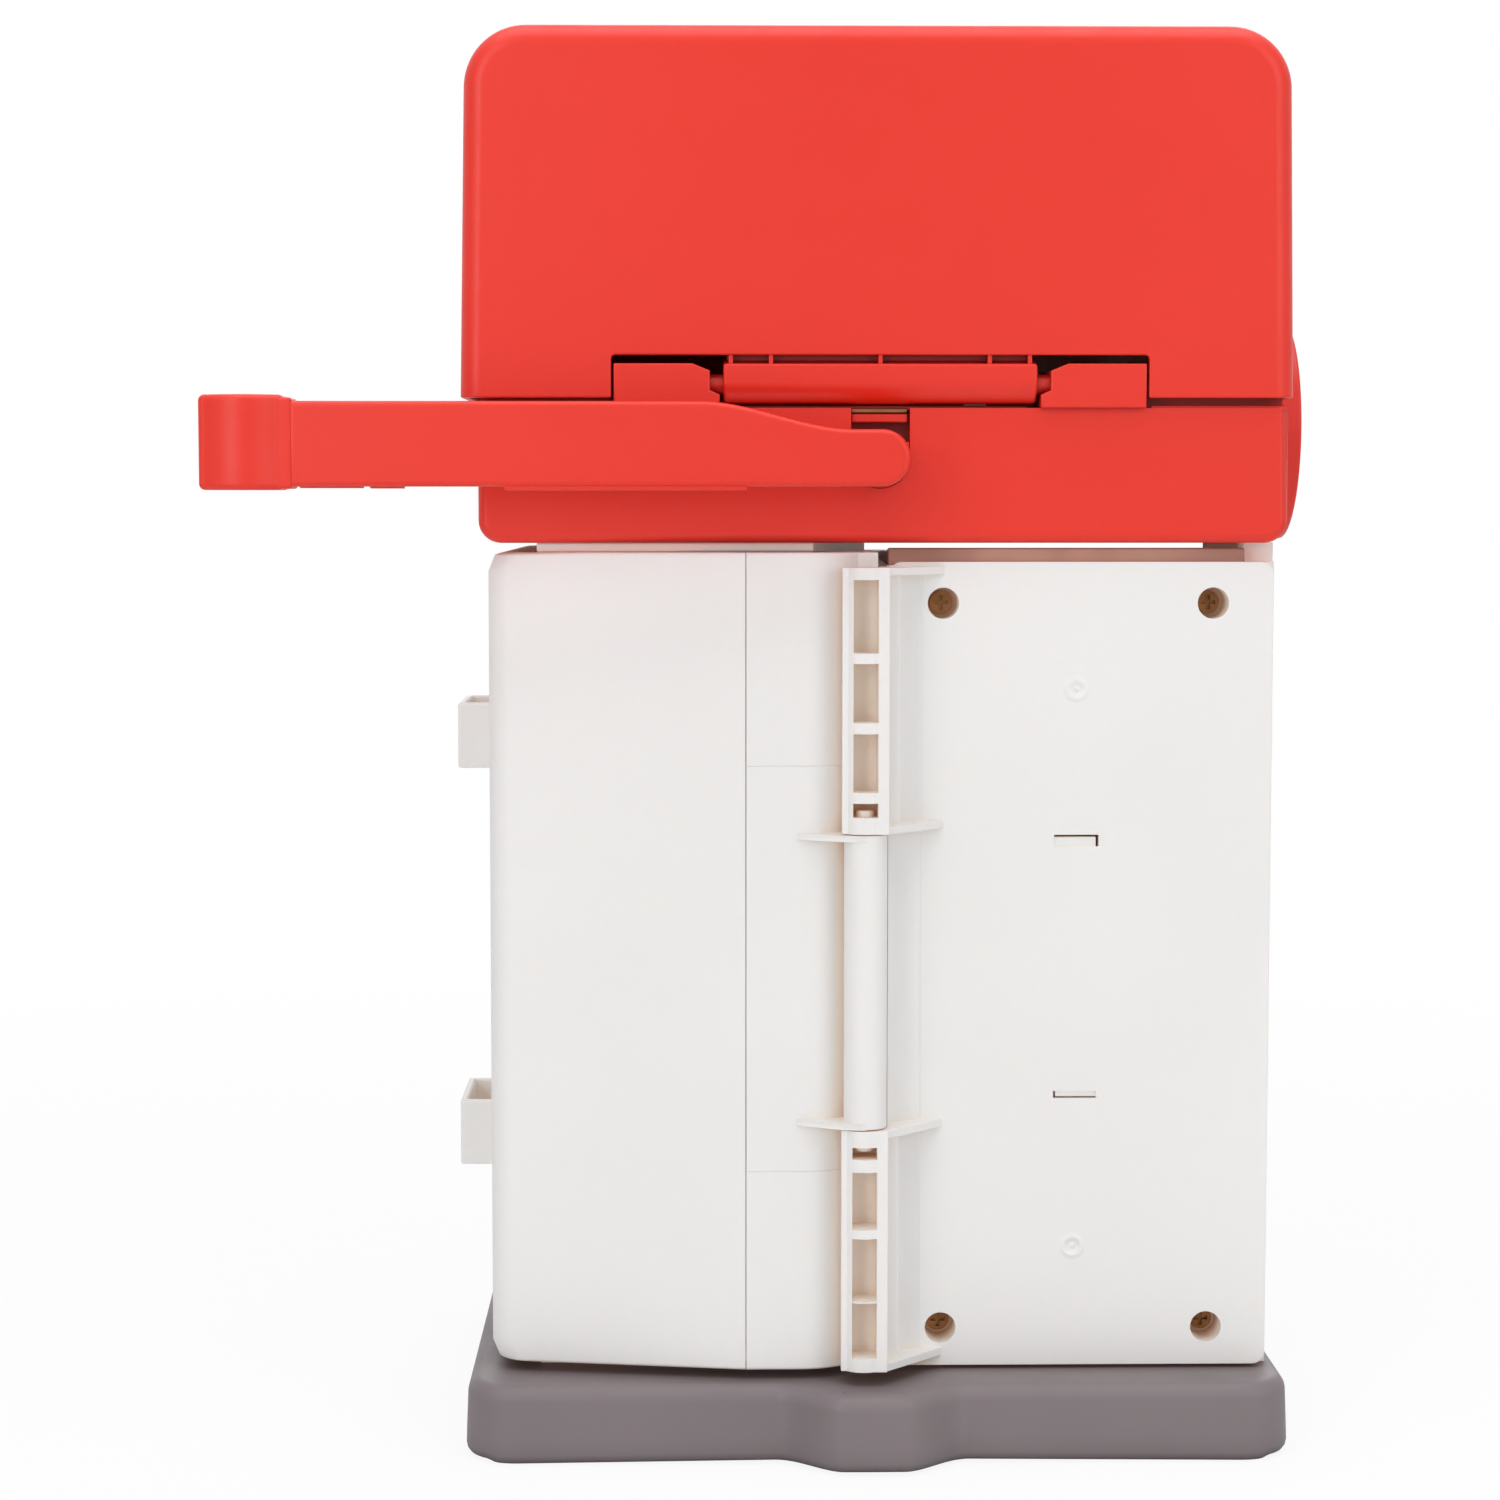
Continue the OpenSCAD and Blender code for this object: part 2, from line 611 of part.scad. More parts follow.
module hinge_leaf() {
    outer = concat([[hinge_x + 4 - crease_x + 1, y_rear - crease_out]], leaf_line(0));
    inner = concat([[hinge_x + 4 - crease_x + 1, y_rear - crease_out + cab_wall]], leaf_line(cab_wall));
    color(white) difference() {
        union() {
            translate([0, 0, leaf_z0]) linear_extrude(leaf_z1 - leaf_z0)
                polygon(concat([for (i = [len(inner) - 1:-1:0]) inner[i]], outer));
            // flange that laps inside the door shell
            box(leaf_screw_x - 4, hinge_x - 20, y_rear - crease_out + 7, y_rear - crease_out + 9,
                leaf_z0 + 4, leaf_z1 - 4);
            for (z = [leaf_z0 + 4, leaf_z1 - 6, (leaf_z0 + leaf_z1) / 2])
                box(hinge_x + 4 - crease_x + 4, hinge_x - 20, y_rear - crease_out + 1,
                    y_rear - crease_out + 8, z, z + 2);
            rod_z(hinge_x, hinge_y, knuckle_r, knuckle_z0, knuckle_z1);
            box(hinge_x - 3, hinge_x + 3, hinge_y, y_rear - 3, knuckle_z0, knuckle_z1);
            rod_z(hinge_x, hinge_y, stub_r, knuckle_z0 - stub_len, knuckle_z1 + stub_len);
            fin_left(knuckle_z0);
            fin_left(knuckle_z1 - fin_t);
        }
        for (z = leaf_screw_z) rod_y(leaf_screw_x, z, 1.7, y_rear - crease_out, y_rear);
    }
}

module leaf_screws() {
    seat = y_rear - crease_out + 9.1;
    color(steel) for (z = leaf_screw_z) translate([0, 2 * seat, 0]) mirror([0, 1, 0])
        screw_y(leaf_screw_x, z, seat, 3, 1.2, 5);
}

module side_hook(z0) {
    color(white) difference() {
        box(cab_x0 - hook_out, cab_x0, -47, -47 + hook_d, z0, z0 + hook_h);
        box(cab_x0 - hook_out + 2, cab_x0 - 1.6, -45, -49 + hook_d, z0 - 1, z0 + hook_h + 1);
    }
}

module upper_hook() { side_hook(183); }
module lower_hook() { side_hook(72.6); }

module door_magnet() {
    color(steel) box(-13, -5, y_front - 15 + 0.2, y_front - cab_wall - 1.4, 128, 142);
}

module door_strike() {
    color(steel) box(-14, -4, y_front - cab_wall - 1, y_front - cab_wall, 126, 144);
}

// ---- Funnel and bin ----
function funnel_ring(grow, z) = raise(round_rect(part_x + 6 - grow, post_x - 1 + grow,
    bulk_y + 3.5 - grow, y_front - cab_wall - 1 + grow, 18), z);
function funnel_low(grow, z) = raise(round_rect(part_x + 14 - grow, post_x - 9 + grow,
    bulk_y + 12 - grow, y_front - cab_wall - 12 + grow, 14), z);

module slice_funnel() {
    z_in = window_z + 2;
    color(white) difference() {
        union() {
            loft([funnel_low(0, z_in), funnel_ring(0, z_cab - 2), funnel_ring(0, z_cab + 1.2)]);
            box(part_x + gap, post_x - gap, bulk_y, y_front - cab_wall - gap, z_cab - 4, z_cab - 2);
        }
        loft([funnel_low(-2, z_in - 1), funnel_ring(-2, z_cab - 2), funnel_ring(-2, z_cab + 3)]);
        translate([0, bulk_y, z_cab - 2.4]) rotate([1.8, 0, 0])
            translate([-20, -20, 0]) cube([160, cab_d + 40, 20]);
    }
}

module slice_bin() {
    mid = (bin_x0 + bin_x1) / 2;
    pull_z = bin_z0 + bin_h - 42;
    color(white) difference() {
        union() {
            box(bin_x0, bin_x1, bin_y0, y_front + 0.5, bin_z0, bin_z0 + bin_h);
            translate([0, y_front + gap, 0]) rotate([90, 0, 0]) translate([0, 0, -3])
                linear_extrude(3) polygon(round_rect(bin_x0 - 3, bin_x1 + 3, base_h + 1.4, window_z + 3, 6));
            // cup pull, open at its underside
            intersection() {
                rod_y(mid, pull_z, pull_r, y_front + 3, y_front + 14);
                box(bin_x0, bin_x1, y_front + 1, y_front + 14, pull_z, pull_z + pull_r);
            }
        }
        box(bin_x0 + bin_wall, bin_x1 - bin_wall, bin_y0 + bin_wall, y_front + 0.5 - bin_wall,
            bin_z0 + bin_wall, bin_z0 + bin_h + 5);
        intersection() {
            rod_y(mid, pull_z, pull_r - 2.2, y_front + gap + 3, y_front + 12);
            box(bin_x0, bin_x1, y_front, y_front + 20, pull_z - 1, pull_z + pull_r);
        }
    }
}

// ---- Head tray ----
head_screw_at = [[tower_x0 + 8, tower_y0 + 10], [tower_x0 + 12, tower_y1 - 8],
    [post_x + 3.4, tower_y0 + 6], [post_x + 3.4, -16]];

module head_tray() {
    color(red) difference() {
        union() {
            difference() {
                hull() {
                    for (x = [tray_x0 + tray_corner, tray_x1 - tray_corner])
                        puck(x, z_tray + tray_corner, tray_corner, tray_y0, tray_y1, 2.5);
                    for (x = [tray_x0, tray_x1 - 1], y = [tray_y0 + 3, tray_y1 - 3])
                        box(x, x + 1, y - 0.5, y + 0.5, z_tray_top - 1, z_tray_top);
                    box(tray_x0 + 3, tray_x1 - 3, tray_y0, tray_y1, z_tray_top - 1, z_tray_top);
                }
                hull() {
                    for (x = [tray_x0 + tray_corner, tray_x1 - tray_corner])
                        puck(x, z_tray + tray_corner, tray_corner - tray_wall, tray_y0 + tray_wall,
                            tray_y1 - tray_wall, 1.5);
                    box(tray_x0 + tray_wall, tray_x1 - tray_wall, tray_y0 + tray_wall, tray_y1 - tray_wall,
                        z_tray_top + 1, z_tray_top + 2);
                }
            }
            // boss for the knob's shaft
            rod_x(0, knob_z, knob_shaft_r + 3, tray_x1 - tray_wall - 3.5, tray_x1 - 1);
        }
        // open slot that takes the lever's bush
        box(-7.6, 8, tray_y0 - 1, tray_y0 + tray_wall + 1, lever_z, z_tray_top + 1);
        rod_y(0.2, lever_z, 7.8, tray_y0 - 1, tray_y0 + tray_wall + 1);
        box(open_x0, open_x1, -open_y, open_y, z_tray - 1, z_floor + 1);
        rod_x(0, knob_z, knob_shaft_r + fit, tray_x1 - 12, tray_x1 + 5);
        for (p = head_screw_at) {
            rod_z(p[0], p[1], 1.9, z_tray - 1, z_floor + 1);
            rod_z(p[0], p[1], 3.5, z_floor, z_floor + 4);
        }
        for (p = bracket_screw_at) rod_z(p[0], p[1], 1.4, z_tray - 1, z_floor + 1);
    }
}

module head_screws() {
    color(steel) for (p = head_screw_at) screw_z_axis(p[0], p[1], z_floor + 2, 3.2, 1.5, 11, -1);
}

// Hinge block of the lid: dir is 1 on the right and -1 on the left
module hinge_block(dir) {
    x0 = barrel_len / 2 + 3.5;
    color(red) difference() {
        union() {
            rod_x(pivot_y, pivot_z, barrel_r, dir > 0 ? x0 : -x0 - block_len, dir > 0 ? x0 + block_len : -x0);
            box(dir > 0 ? x0 : -x0 - block_len, dir > 0 ? x0 + block_len : -x0,
                pivot_y - barrel_r, pivot_y + barrel_r, z_tray_top, pivot_z);
            box(dir > 0 ? x0 - 2.8 : -x0 - 1, dir > 0 ? x0 + 1 : -x0 + 2.8,
                pivot_y - barrel_r, pivot_y + barrel_r - 4, z_tray_top, pivot_z - 3.2);
            box(dir > 0 ? x0 + 2 : -x0 - block_len + 2, dir > 0 ? x0 + block_len - 2 : -x0 - 2,
                tray_y0 + tray_wall + 0.2, pivot_y + barrel_r, z_tray_top - 9, z_tray_top + 1);
        }
        rod_x(pivot_y, pivot_z, lid_stub_r + fit, dir > 0 ? x0 - 5 : -x0 - 9, dir > 0 ? x0 + 9 : -x0 + 5);
    }
}

module hinge_block_left() { hinge_block(-1); }
module hinge_block_right() { hinge_block(1); }

// ---- Lid ----
module lid() {
    rib_x = [-barrel_len / 2 + 1, -29, -1, 27, barrel_len / 2 - 3];
    color(red) difference() {
        union() {
            difference() {
                hull() {
                    for (x = [lid_x0 + lid_corner + 1.6, lid_x1 - lid_corner - 1.6])
                        puck(x, z_lid_top - lid_corner, lid_corner, lid_y0, -lid_y0, lid_edge);
                    translate([0, 0, z_lid]) linear_extrude(1)
                        polygon(round_rect(lid_x0, lid_x1, lid_y0, -lid_y0, lid_edge));
                }
                hull() {
                    for (x = [lid_x0 + lid_corner + 1.6, lid_x1 - lid_corner - 1.6])
                        puck(x, z_lid_top - lid_corner, lid_corner - lid_wall, lid_y0 + lid_wall,
                            -lid_y0 - lid_wall, lid_edge - 1.5);
                    translate([0, 0, z_lid - 1]) linear_extrude(1) polygon(round_rect(lid_x0 + lid_wall,
                        lid_x1 - lid_wall, lid_y0 + lid_wall, -lid_y0 - lid_wall, lid_edge - 1.5));
                }
                // notch round the hinge
                box(-notch_half, notch_half, lid_y0 - 1, lid_y0 + lid_wall + lid_edge, z_lid - 1, notch_top);
                // chamfer that clears the tray's rim when the lid swings
                translate([0, lid_y0, z_lid]) rotate([45, 0, 0])
                    translate([-lid_w, -1.1, -1.1]) cube([2 * lid_w, 2.2, 2.2]);
            }
            rod_x(pivot_y, pivot_z, barrel_r, -barrel_len / 2, barrel_len / 2);
            for (x = rib_x)
                box(x, x + 2, lid_y0 + 1, lid_y0 + 2 * barrel_r - 2, pivot_z, notch_top + 5);
            box(-barrel_len / 2 + 1, barrel_len / 2 - 1, pivot_y, pivot_y + 2, pivot_z + 2, notch_top + 5);
            box(-barrel_len / 2 + 1, barrel_len / 2 - 1, lid_y0 + 1, pivot_y + 2, notch_top + 3, notch_top + 5);
            rod_x(pivot_y, pivot_z, lid_stub_r, -barrel_len / 2 - 11, barrel_len / 2 + 11);
            // finger lip at the front
            box(-26, 26, -lid_y0 - 1, -lid_y0 + 5, z_lid, z_lid + 3);
        }
    }
}

// ---- Lever ----
module lever_bush() {
    color(red) difference() {
        union() {
            box(-7.6 + 0.15, 8 - 0.15, tray_y0, tray_y0 + tray_wall, lever_z, lever_z + 4.5);
            rod_y(0.2, lever_z, 7.65, tray_y0, tray_y0 + tray_wall);
            box(-9.8, 10.2, tray_y0 + tray_wall, plate_y0, lever_z - 9, lever_z + 4.5);
        }
        rod_y(0, lever_z, lever_shaft_r + fit, tray_y0 - 1, plate_y0 + 1);
    }
}

module lever_shaft() {
    groove_y = plate_y1 + plate_t + 5.4;
    color(steel) difference() {
        rod_y(0, lever_z, lever_shaft_r, arm_y0 + 3, shaft_end);
        difference() {
            rod_y(0, lever_z, lever_shaft_r + 1, groove_y, groove_y + 0.9);
            rod_y(0, lever_z, lever_shaft_r - 0.7, groove_y - 1, groove_y + 2);
        }
    }
}

arm_x = -lever_len;
grip_x = arm_x - 2;        // the arm ends inside the collar, between grip_x and arm_x
arm_z0 = lever_z - 7.4;
arm_z1 = arm_z0 + lever_h;
tip_z = lever_z + 7.2;

module lever_arm() {
    color(red) difference() {
        union() {
            translate([0, arm_y1, 0]) rotate([90, 0, 0]) linear_extrude(lever_t) polygon(concat(
                [[grip_x, arm_z0], [-5, arm_z0]],
                arc(0, lever_z, 7.4, -82, 78, 12),
                [[-8, tip_z + 0.1], [-13, tip_z + 0.5], [-18, tip_z + 1.4], [-22.5, tip_z + 2.8],
                    [-27, tip_z + 4.8], [-31.5, tip_z + 6.2], [-37, arm_z1 - 0.3], [-44, arm_z1],
                    [grip_x, arm_z1]]));
            rod_y(0, lever_z, 7, arm_y1 - eps, tray_y0 - 0.6);
        }
        rod_y(0, lever_z, lever_shaft_r, arm_y0 + 3, tray_y0);
        rod_z(0, arm_y1 + 7, 1.5, lever_z - 9, lever_z);
    }
}

module lever_grip() {
    z0 = arm_z0 - 0.9;
    color(red) difference() {
        union() {
            intersection() {
                box(grip_x - grip_len + 2, grip_x + 0.1, arm_y0 - 3, arm_y0 - 3 + grip_d, z0, z0 + grip_h);
                translate([grip_x - grip_len / 2 + 1, arm_y0 + 20, z0])
                    cylinder(r = 24, h = grip_h, $fn = 96);
            }
            box(grip_x - 0.1, grip_x + 2, arm_y0 - 0.8, arm_y1 + 0.8, z0, z0 + grip_h);
        }
        box(grip_x, grip_x + 3, arm_y0 - 0.05, arm_y1 + 0.05, arm_z0 - 0.05, arm_z1 + 0.05);
    }
}

module lever_grub_screw() {
    color(steel) difference() {
        rod_z(0, arm_y1 + 7, 1.45, lever_z - 7, lever_z - lever_shaft_r - 0.05);
        translate([0, arm_y1 + 7, lever_z - 7.5]) cylinder(r = 0.8, h = 1.5, $fn = 6);
    }
}

// ---- Gears ----
// Points of one involute tooth about angle 0, for z teeth of module m
function inv_point(rb, t) = [rb * (cos(t) + t * PI / 180 * sin(t)), rb * (sin(t) - t * PI / 180 * cos(t))];
function roll(rb, r) = r > rb ? sqrt(pow(r / rb, 2) - 1) * 180 / PI : 0;
function turn(p, a) = [p[0] * cos(a) - p[1] * sin(a), p[0] * sin(a) + p[1] * cos(a)];
function flank(z, m, slack) =
    let (rp = z * m / 2, rb = rp * cos(20), rf = rp - 1.25 * m, ra = rp + m,
        half = 90 / z - slack / rp * 90 / PI,
        lean = roll(rb, rp) - atan(roll(rb, rp) * PI / 180))
    concat([turn([min(rf, rb - 0.01), 0], -half - lean)],
        [for (i = [0:5]) turn(inv_point(rb, roll(rb, max(rb, rb + (ra - rb) * i / 5))), -half - lean)]);
function tooth(z, m, slack) = let (f = flank(z, m, slack))
    concat(f, [for (i = [len(f) - 1:-1:0]) [f[i][0], -f[i][1]]]);
function gear_points(z, m, slack, from, count) =
    [for (k = [0:count - 1], p = tooth(z, m, slack)) turn(p, from + k * 360 / z)];

module gear_at(x, z) {
    translate([x, gear_y1, z]) rotate([90, 0, 0]) linear_extrude(gear_w) children();
}

lever_sector = 7;    // teeth cut in the lever gear
module lever_gear() {
    pitch = 360 / lever_teeth;
    first = 30 - pitch / 2 - (lever_sector - 2) * pitch;
    color(steel) difference() {
        gear_at(0, lever_z) polygon(concat([[0, 0]],
            gear_points(lever_teeth, gear_module, 0.12, first, lever_sector)));
        rod_y(0, lever_z, lever_shaft_r + 3, gear_y0 - 1, gear_y1 + 1);
    }
    color(steel) difference() {
        rod_y(0, lever_z, lever_shaft_r + 3.6, gear_y0, gear_y1);
        rod_y(0, lever_z, lever_shaft_r, gear_y0 - 1, gear_y1 + 1);
    }
}

module frame_gear() {
    color(steel) difference() {
        gear_at(frame_x, frame_z)
            polygon(gear_points(frame_teeth, gear_module, 0.12, 210, frame_teeth));
        rod_y(frame_x, frame_z, frame_shaft_r, gear_y0 - 1, gear_y1 + 1);
    }
}

bracket_screw_at = [[-24.5, gear_y0 + gear_w / 2], [frame_x + 18.4, gear_y0 + gear_w / 2]];

module bracket_plate(y) {
    difference() {
        translate([0, y + plate_t, 0]) rotate([90, 0, 0]) linear_extrude(plate_t) polygon([
            [-22, z_floor], [frame_x + 16, z_floor], [frame_x + 16, frame_z + 3], [frame_x + 10, frame_z + 9],
            [frame_x - 7, frame_z + 9], [7, z_tray_top - 2], [-22, z_tray_top - 2]]);
        rod_y(0, lever_z, lever_shaft_r + fit, y - 1, y + plate_t + 1);
        rod_y(frame_x, frame_z, frame_shaft_r + fit, y - 1, y + plate_t + 1);
    }
}

module gear_bracket() {
    color(red) {
        difference() {
            union() {
                bracket_plate(plate_y0);
                bracket_plate(plate_y1);
                for (x = [-22, frame_x + 14])
                    box(x, x + 2, plate_y0, plate_y1 + plate_t, z_floor, z_floor + 22);
                for (x = [-28, frame_x + 15.9])
                    box(x, x + 6.1, plate_y0, plate_y1 + plate_t, z_floor, z_floor + 2);
            }
            for (p = bracket_screw_at) rod_z(p[0], p[1], 1.5, z_floor - 1, z_floor + 3);
        }
    }
}

module bracket_screws() {
    color(steel) for (p = bracket_screw_at) screw_z_axis(p[0], p[1], z_floor + 4, 2.4, 1.3, 4, -1);
}

module return_spring() {
    y0 = plate_y1 + plate_t;
    coil = lever_shaft_r + 1.2;
    color(steel) {
        translate([0, y0 + 0.1, lever_z]) rotate([-90, 0, 0]) rotate_extrude($fn = 48)
            polygon(concat([[coil - 0.6, 0], [coil, 0]],
                [for (k = [0:4], p = [[coil + 0.5, 0.3 + k], [coil + 0.5, 0.7 + k], [coil + 0.1, 1 + k]]) p],
                [[coil - 0.6, 5]]));
        box(-coil - 0.45, -coil + 0.35, y0 + 0.2, y0 + 1.1, lever_z - 12, lever_z + 1);
    }
}

module shaft_clip() {
    y = plate_y1 + plate_t + 5.45;
    r = lever_shaft_r;
    color(steel) difference() {
        rod_y(0, lever_z, r + 2, y, y + 0.8);
        rod_y(0, lever_z, r - 0.6, y - 1, y + 2);
        translate([-r * 0.6, y - 1, lever_z - r - 3]) cube([r * 1.2, 3, r + 1]);
    }
}

// ---- Wire frame, modelled standing up as it rests ----
module frame_shaft() {
    color(steel) rod_y(frame_x, frame_z, frame_shaft_r, plate_y0, frame_end);
}

module wire_frame() {
    bar = 3.2;
    color(steel) difference() {
        union() {
            for (y = [-frame_half - 4, frame_half]) {
                rod_y(frame_x, frame_z, frame_shaft_r + 3, y, y + 4);
                box(frame_x - bar, frame_x + bar, y, y + 4, frame_z, frame_z + frame_len);
            }
            box(frame_x - bar, frame_x + bar, -frame_half - 1, frame_half + 1,
                frame_z + frame_len - 5, frame_z + frame_len);
            box(frame_x - bar, frame_x + bar, -frame_half - 1, frame_half + 1,
                frame_z + wire_in - 3, frame_z + wire_in + 1.6);
        }
        rod_y(frame_x, frame_z, frame_shaft_r, -frame_half - 5, frame_half + 5);
        for (x = [-1, 1]) rod_x(x * (frame_half - 3), frame_z + frame_len - 2.5, 1.1,
            frame_x - bar - 1, frame_x + bar + 1);
    }
}

module wire_clamp() {
    color(steel) difference() {
        box(frame_x - 4.4, frame_x - 3.2, -frame_half + 0.5, frame_half - 0.5,
            frame_z + frame_len - 4.6, frame_z + frame_len - 0.4);
        for (y = [-1, 1]) rod_x(y * (frame_half - 3), frame_z + frame_len - 2.5, 1.2,
            frame_x - 6, frame_x);
    }
}

module clamp_screws() {
    color(steel) for (y = [-1, 1]) {
        rod_x(y * (frame_half - 3), frame_z + frame_len - 2.5, 1.9, frame_x - 5.8, frame_x - 4.4);
        rod_x(y * (frame_half - 3), frame_z + frame_len - 2.5, 1, frame_x - 4.4 - eps, frame_x + 3);
    }
}

module cutting_wires() {
    color(steel) for (k = [-wire_rows:wire_rows])
        rod_z(frame_x, k * wire_pitch, wire_d / 2, frame_z + wire_in + 1.6, frame_z + frame_len - 5);
}

module frame_bearing() {
    y0 = frame_half + 4.4;
    color(red) difference() {
        union() {
            box(frame_x - 5, frame_x + 5, y0, y0 + 3.6, z_floor, frame_z);
            rod_y(frame_x, frame_z, frame_shaft_r + 2.4, y0, y0 + 3.6);
            box(frame_x - 5, frame_x + 5, y0, y0 + 12, z_floor, z_floor + 2.5);
        }
        rod_y(frame_x, frame_z, frame_shaft_r + fit, y0 - 1, y0 + 5);
    }
}

// ---- Cradle ----
module cradle_bearing() {
    x1 = cradle_x0 - 2.4;
    color(red) difference() {
        union() {
            box(x1 - 3.6, x1, -5, 5, z_floor, knob_z);
            rod_x(0, knob_z, knob_shaft_r + 2, x1 - 3.6, x1);
            box(x1 - 3.6, x1, -12, 12, z_floor, z_floor + 2.5);
        }
        rod_x(0, knob_z, knob_shaft_r + fit, x1 - 5, x1 + 1);
    }
}

module egg_cradle() {
    slot_w = 1.5;
    color(white) difference() {
        intersection() {
            rod_x(0, knob_z, cradle_r, cradle_x0, cradle_x1);
            box(cradle_x0, cradle_x1, -34, 34, knob_z - 11, cradle_top);
        }
        translate([(cradle_x0 + cradle_x1) / 2, 0, frame_z + 22.6]) scale([20.5, 28, 21.5])
            sphere(r = 1, $fn = 40);
        for (k = [-wire_rows:wire_rows])
            box(cradle_x0 - 1, cradle_x1 + 1, k * wire_pitch - slot_w / 2, k * wire_pitch + slot_w / 2,
                frame_z - 3.3, cradle_top + 1);
        rod_x(0, knob_z, knob_shaft_r, cradle_x0 - 1, cradle_x1 + 1);
    }
}

module cradle_shaft() {
    color(steel) rod_x(0, knob_z, knob_shaft_r, cradle_x0 - 7, knob_end);
}

module side_knob() {
    color(red) difference() {
        translate([knob_x0, 0, knob_z + 3]) rotate([0, 90, 0]) rotate_extrude($fn = 72) polygon(concat(
            [[0, 0], [knob_r - 1.4, 0], [knob_r, 1.4]],
            arc(knob_r - 2, knob_t - 2, 2, 0, 90, 5), [[0, knob_t]]));
        rod_x(0, knob_z, knob_shaft_r, tray_x1 - 1, knob_end);
    }
}

base_shell();
base_cover();
rubber_feet();
base_screws();
housing();
storage_shelf();
rear_cover();
cover_screws();
door_shell();
hinge_leaf();
leaf_screws();
upper_hook();
lower_hook();
door_magnet();
door_strike();
slice_funnel();
slice_bin();
head_tray();
head_screws();
hinge_block_left();
hinge_block_right();
lid();
lever_bush();
lever_shaft();
lever_arm();
lever_grip();
lever_grub_screw();
lever_gear();
gear_bracket();
bracket_screws();
return_spring();
shaft_clip();
frame_shaft();
frame_gear();
wire_frame();
wire_clamp();
clamp_screws();
cutting_wires();
frame_bearing();
cradle_bearing();
egg_cradle();
cradle_shaft();
side_knob();
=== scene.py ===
import json
import math

import bmesh
import bpy
import numpy as np
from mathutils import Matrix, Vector


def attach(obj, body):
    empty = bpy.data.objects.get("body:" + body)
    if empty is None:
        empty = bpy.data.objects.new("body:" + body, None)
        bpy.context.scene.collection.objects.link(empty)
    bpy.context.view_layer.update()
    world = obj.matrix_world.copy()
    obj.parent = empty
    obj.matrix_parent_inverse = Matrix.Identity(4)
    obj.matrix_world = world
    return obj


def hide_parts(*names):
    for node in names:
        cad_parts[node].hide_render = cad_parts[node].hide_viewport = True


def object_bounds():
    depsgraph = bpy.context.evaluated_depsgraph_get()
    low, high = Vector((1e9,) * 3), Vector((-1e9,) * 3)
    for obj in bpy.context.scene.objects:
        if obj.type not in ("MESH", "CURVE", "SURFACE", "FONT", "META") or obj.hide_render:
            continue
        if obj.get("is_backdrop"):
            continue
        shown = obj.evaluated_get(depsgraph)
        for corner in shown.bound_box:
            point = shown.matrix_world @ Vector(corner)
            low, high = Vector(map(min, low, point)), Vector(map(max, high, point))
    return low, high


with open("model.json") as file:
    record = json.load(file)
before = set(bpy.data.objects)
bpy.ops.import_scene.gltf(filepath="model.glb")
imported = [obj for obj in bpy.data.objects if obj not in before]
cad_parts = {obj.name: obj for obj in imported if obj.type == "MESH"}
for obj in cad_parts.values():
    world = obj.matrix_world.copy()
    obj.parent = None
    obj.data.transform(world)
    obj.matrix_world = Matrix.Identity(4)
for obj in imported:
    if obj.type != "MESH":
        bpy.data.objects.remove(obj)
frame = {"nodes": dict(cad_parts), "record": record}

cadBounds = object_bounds()
mm = 0.001
print("stage: frame loaded,", len(frame["nodes"]), "nodes")

cameraSet = {
    "place": (-49.31, -929.34, 255.75),   # mm
    "pitchDown": 4.4,                     # degrees below level
    "turnRight": 1.0,                     # degrees towards +X
    "lens": 77.11,                        # mm
    "sensor": 36,                         # mm wide
    "farthest": 20,                       # m
}
lampSet = {
    # name: place in mm, aim in mm, width and height in mm, power in W
    "keyLeft": ((-900, -1500, 900), (0, 0, 190), (900, 1100), 6.6),
    "stripLeft": ((-640, -1250, 290), (-60, -80, 250), (160, 900), 2.0),
    "fillRight": ((1000, -1300, 700), (0, 0, 190), (900, 1100), 5.9),
    "overhead": ((0, -250, 1500), (0, 0, 200), (1500, 1200), 12),
    "behind": ((200, 1400, 900), (0, 0, 190), (1200, 900), 6),
}
worldSet = {"seenWhite": 1.0, "ambient": 0.39}


def makeCamera(s):
    data = bpy.data.cameras.new("standCamera")
    data.lens = s["lens"]
    data.sensor_width = s["sensor"]
    data.clip_end = s["farthest"]
    camera = bpy.data.objects.new("standCamera", data)
    camera.location = Vector(s["place"]) * mm
    camera.rotation_euler = (math.radians(90 - s["pitchDown"]), 0, -math.radians(s["turnRight"]))
    bpy.context.scene.collection.objects.link(camera)
    bpy.context.scene.camera = camera


def makeLamp(name, place, aim, size, watts):
    data = bpy.data.lights.new(name, "AREA")
    data.shape = "RECTANGLE"
    data.size, data.size_y = size[0] * mm, size[1] * mm
    data.energy = watts
    lamp = bpy.data.objects.new(name, data)
    lamp.location = Vector(place) * mm
    lamp.rotation_euler = (Vector(aim) - Vector(place)).to_track_quat("-Z", "Y").to_euler()
    bpy.context.scene.collection.objects.link(lamp)


# detail and roughness of each pattern's noise
noiseSet = {"clouds": (3.0, 0.55), "flow": (2.0, 0.6), "patches": (4.0, 0.6), "grain": (2.0, 0.7),
            "waves": (1.0, 0.5), "stains": (4.0, 0.6), "lines": (2.0, 0.6)}
# the part of a pattern's range that is spread out over its two values
spreadSet = {"clouds": (0.3, 0.7), "flow": (0.45, 0.75), "patches": (0.3, 0.7), "stains": (0.35, 0.7),
             "lines": (0.3, 0.7)}


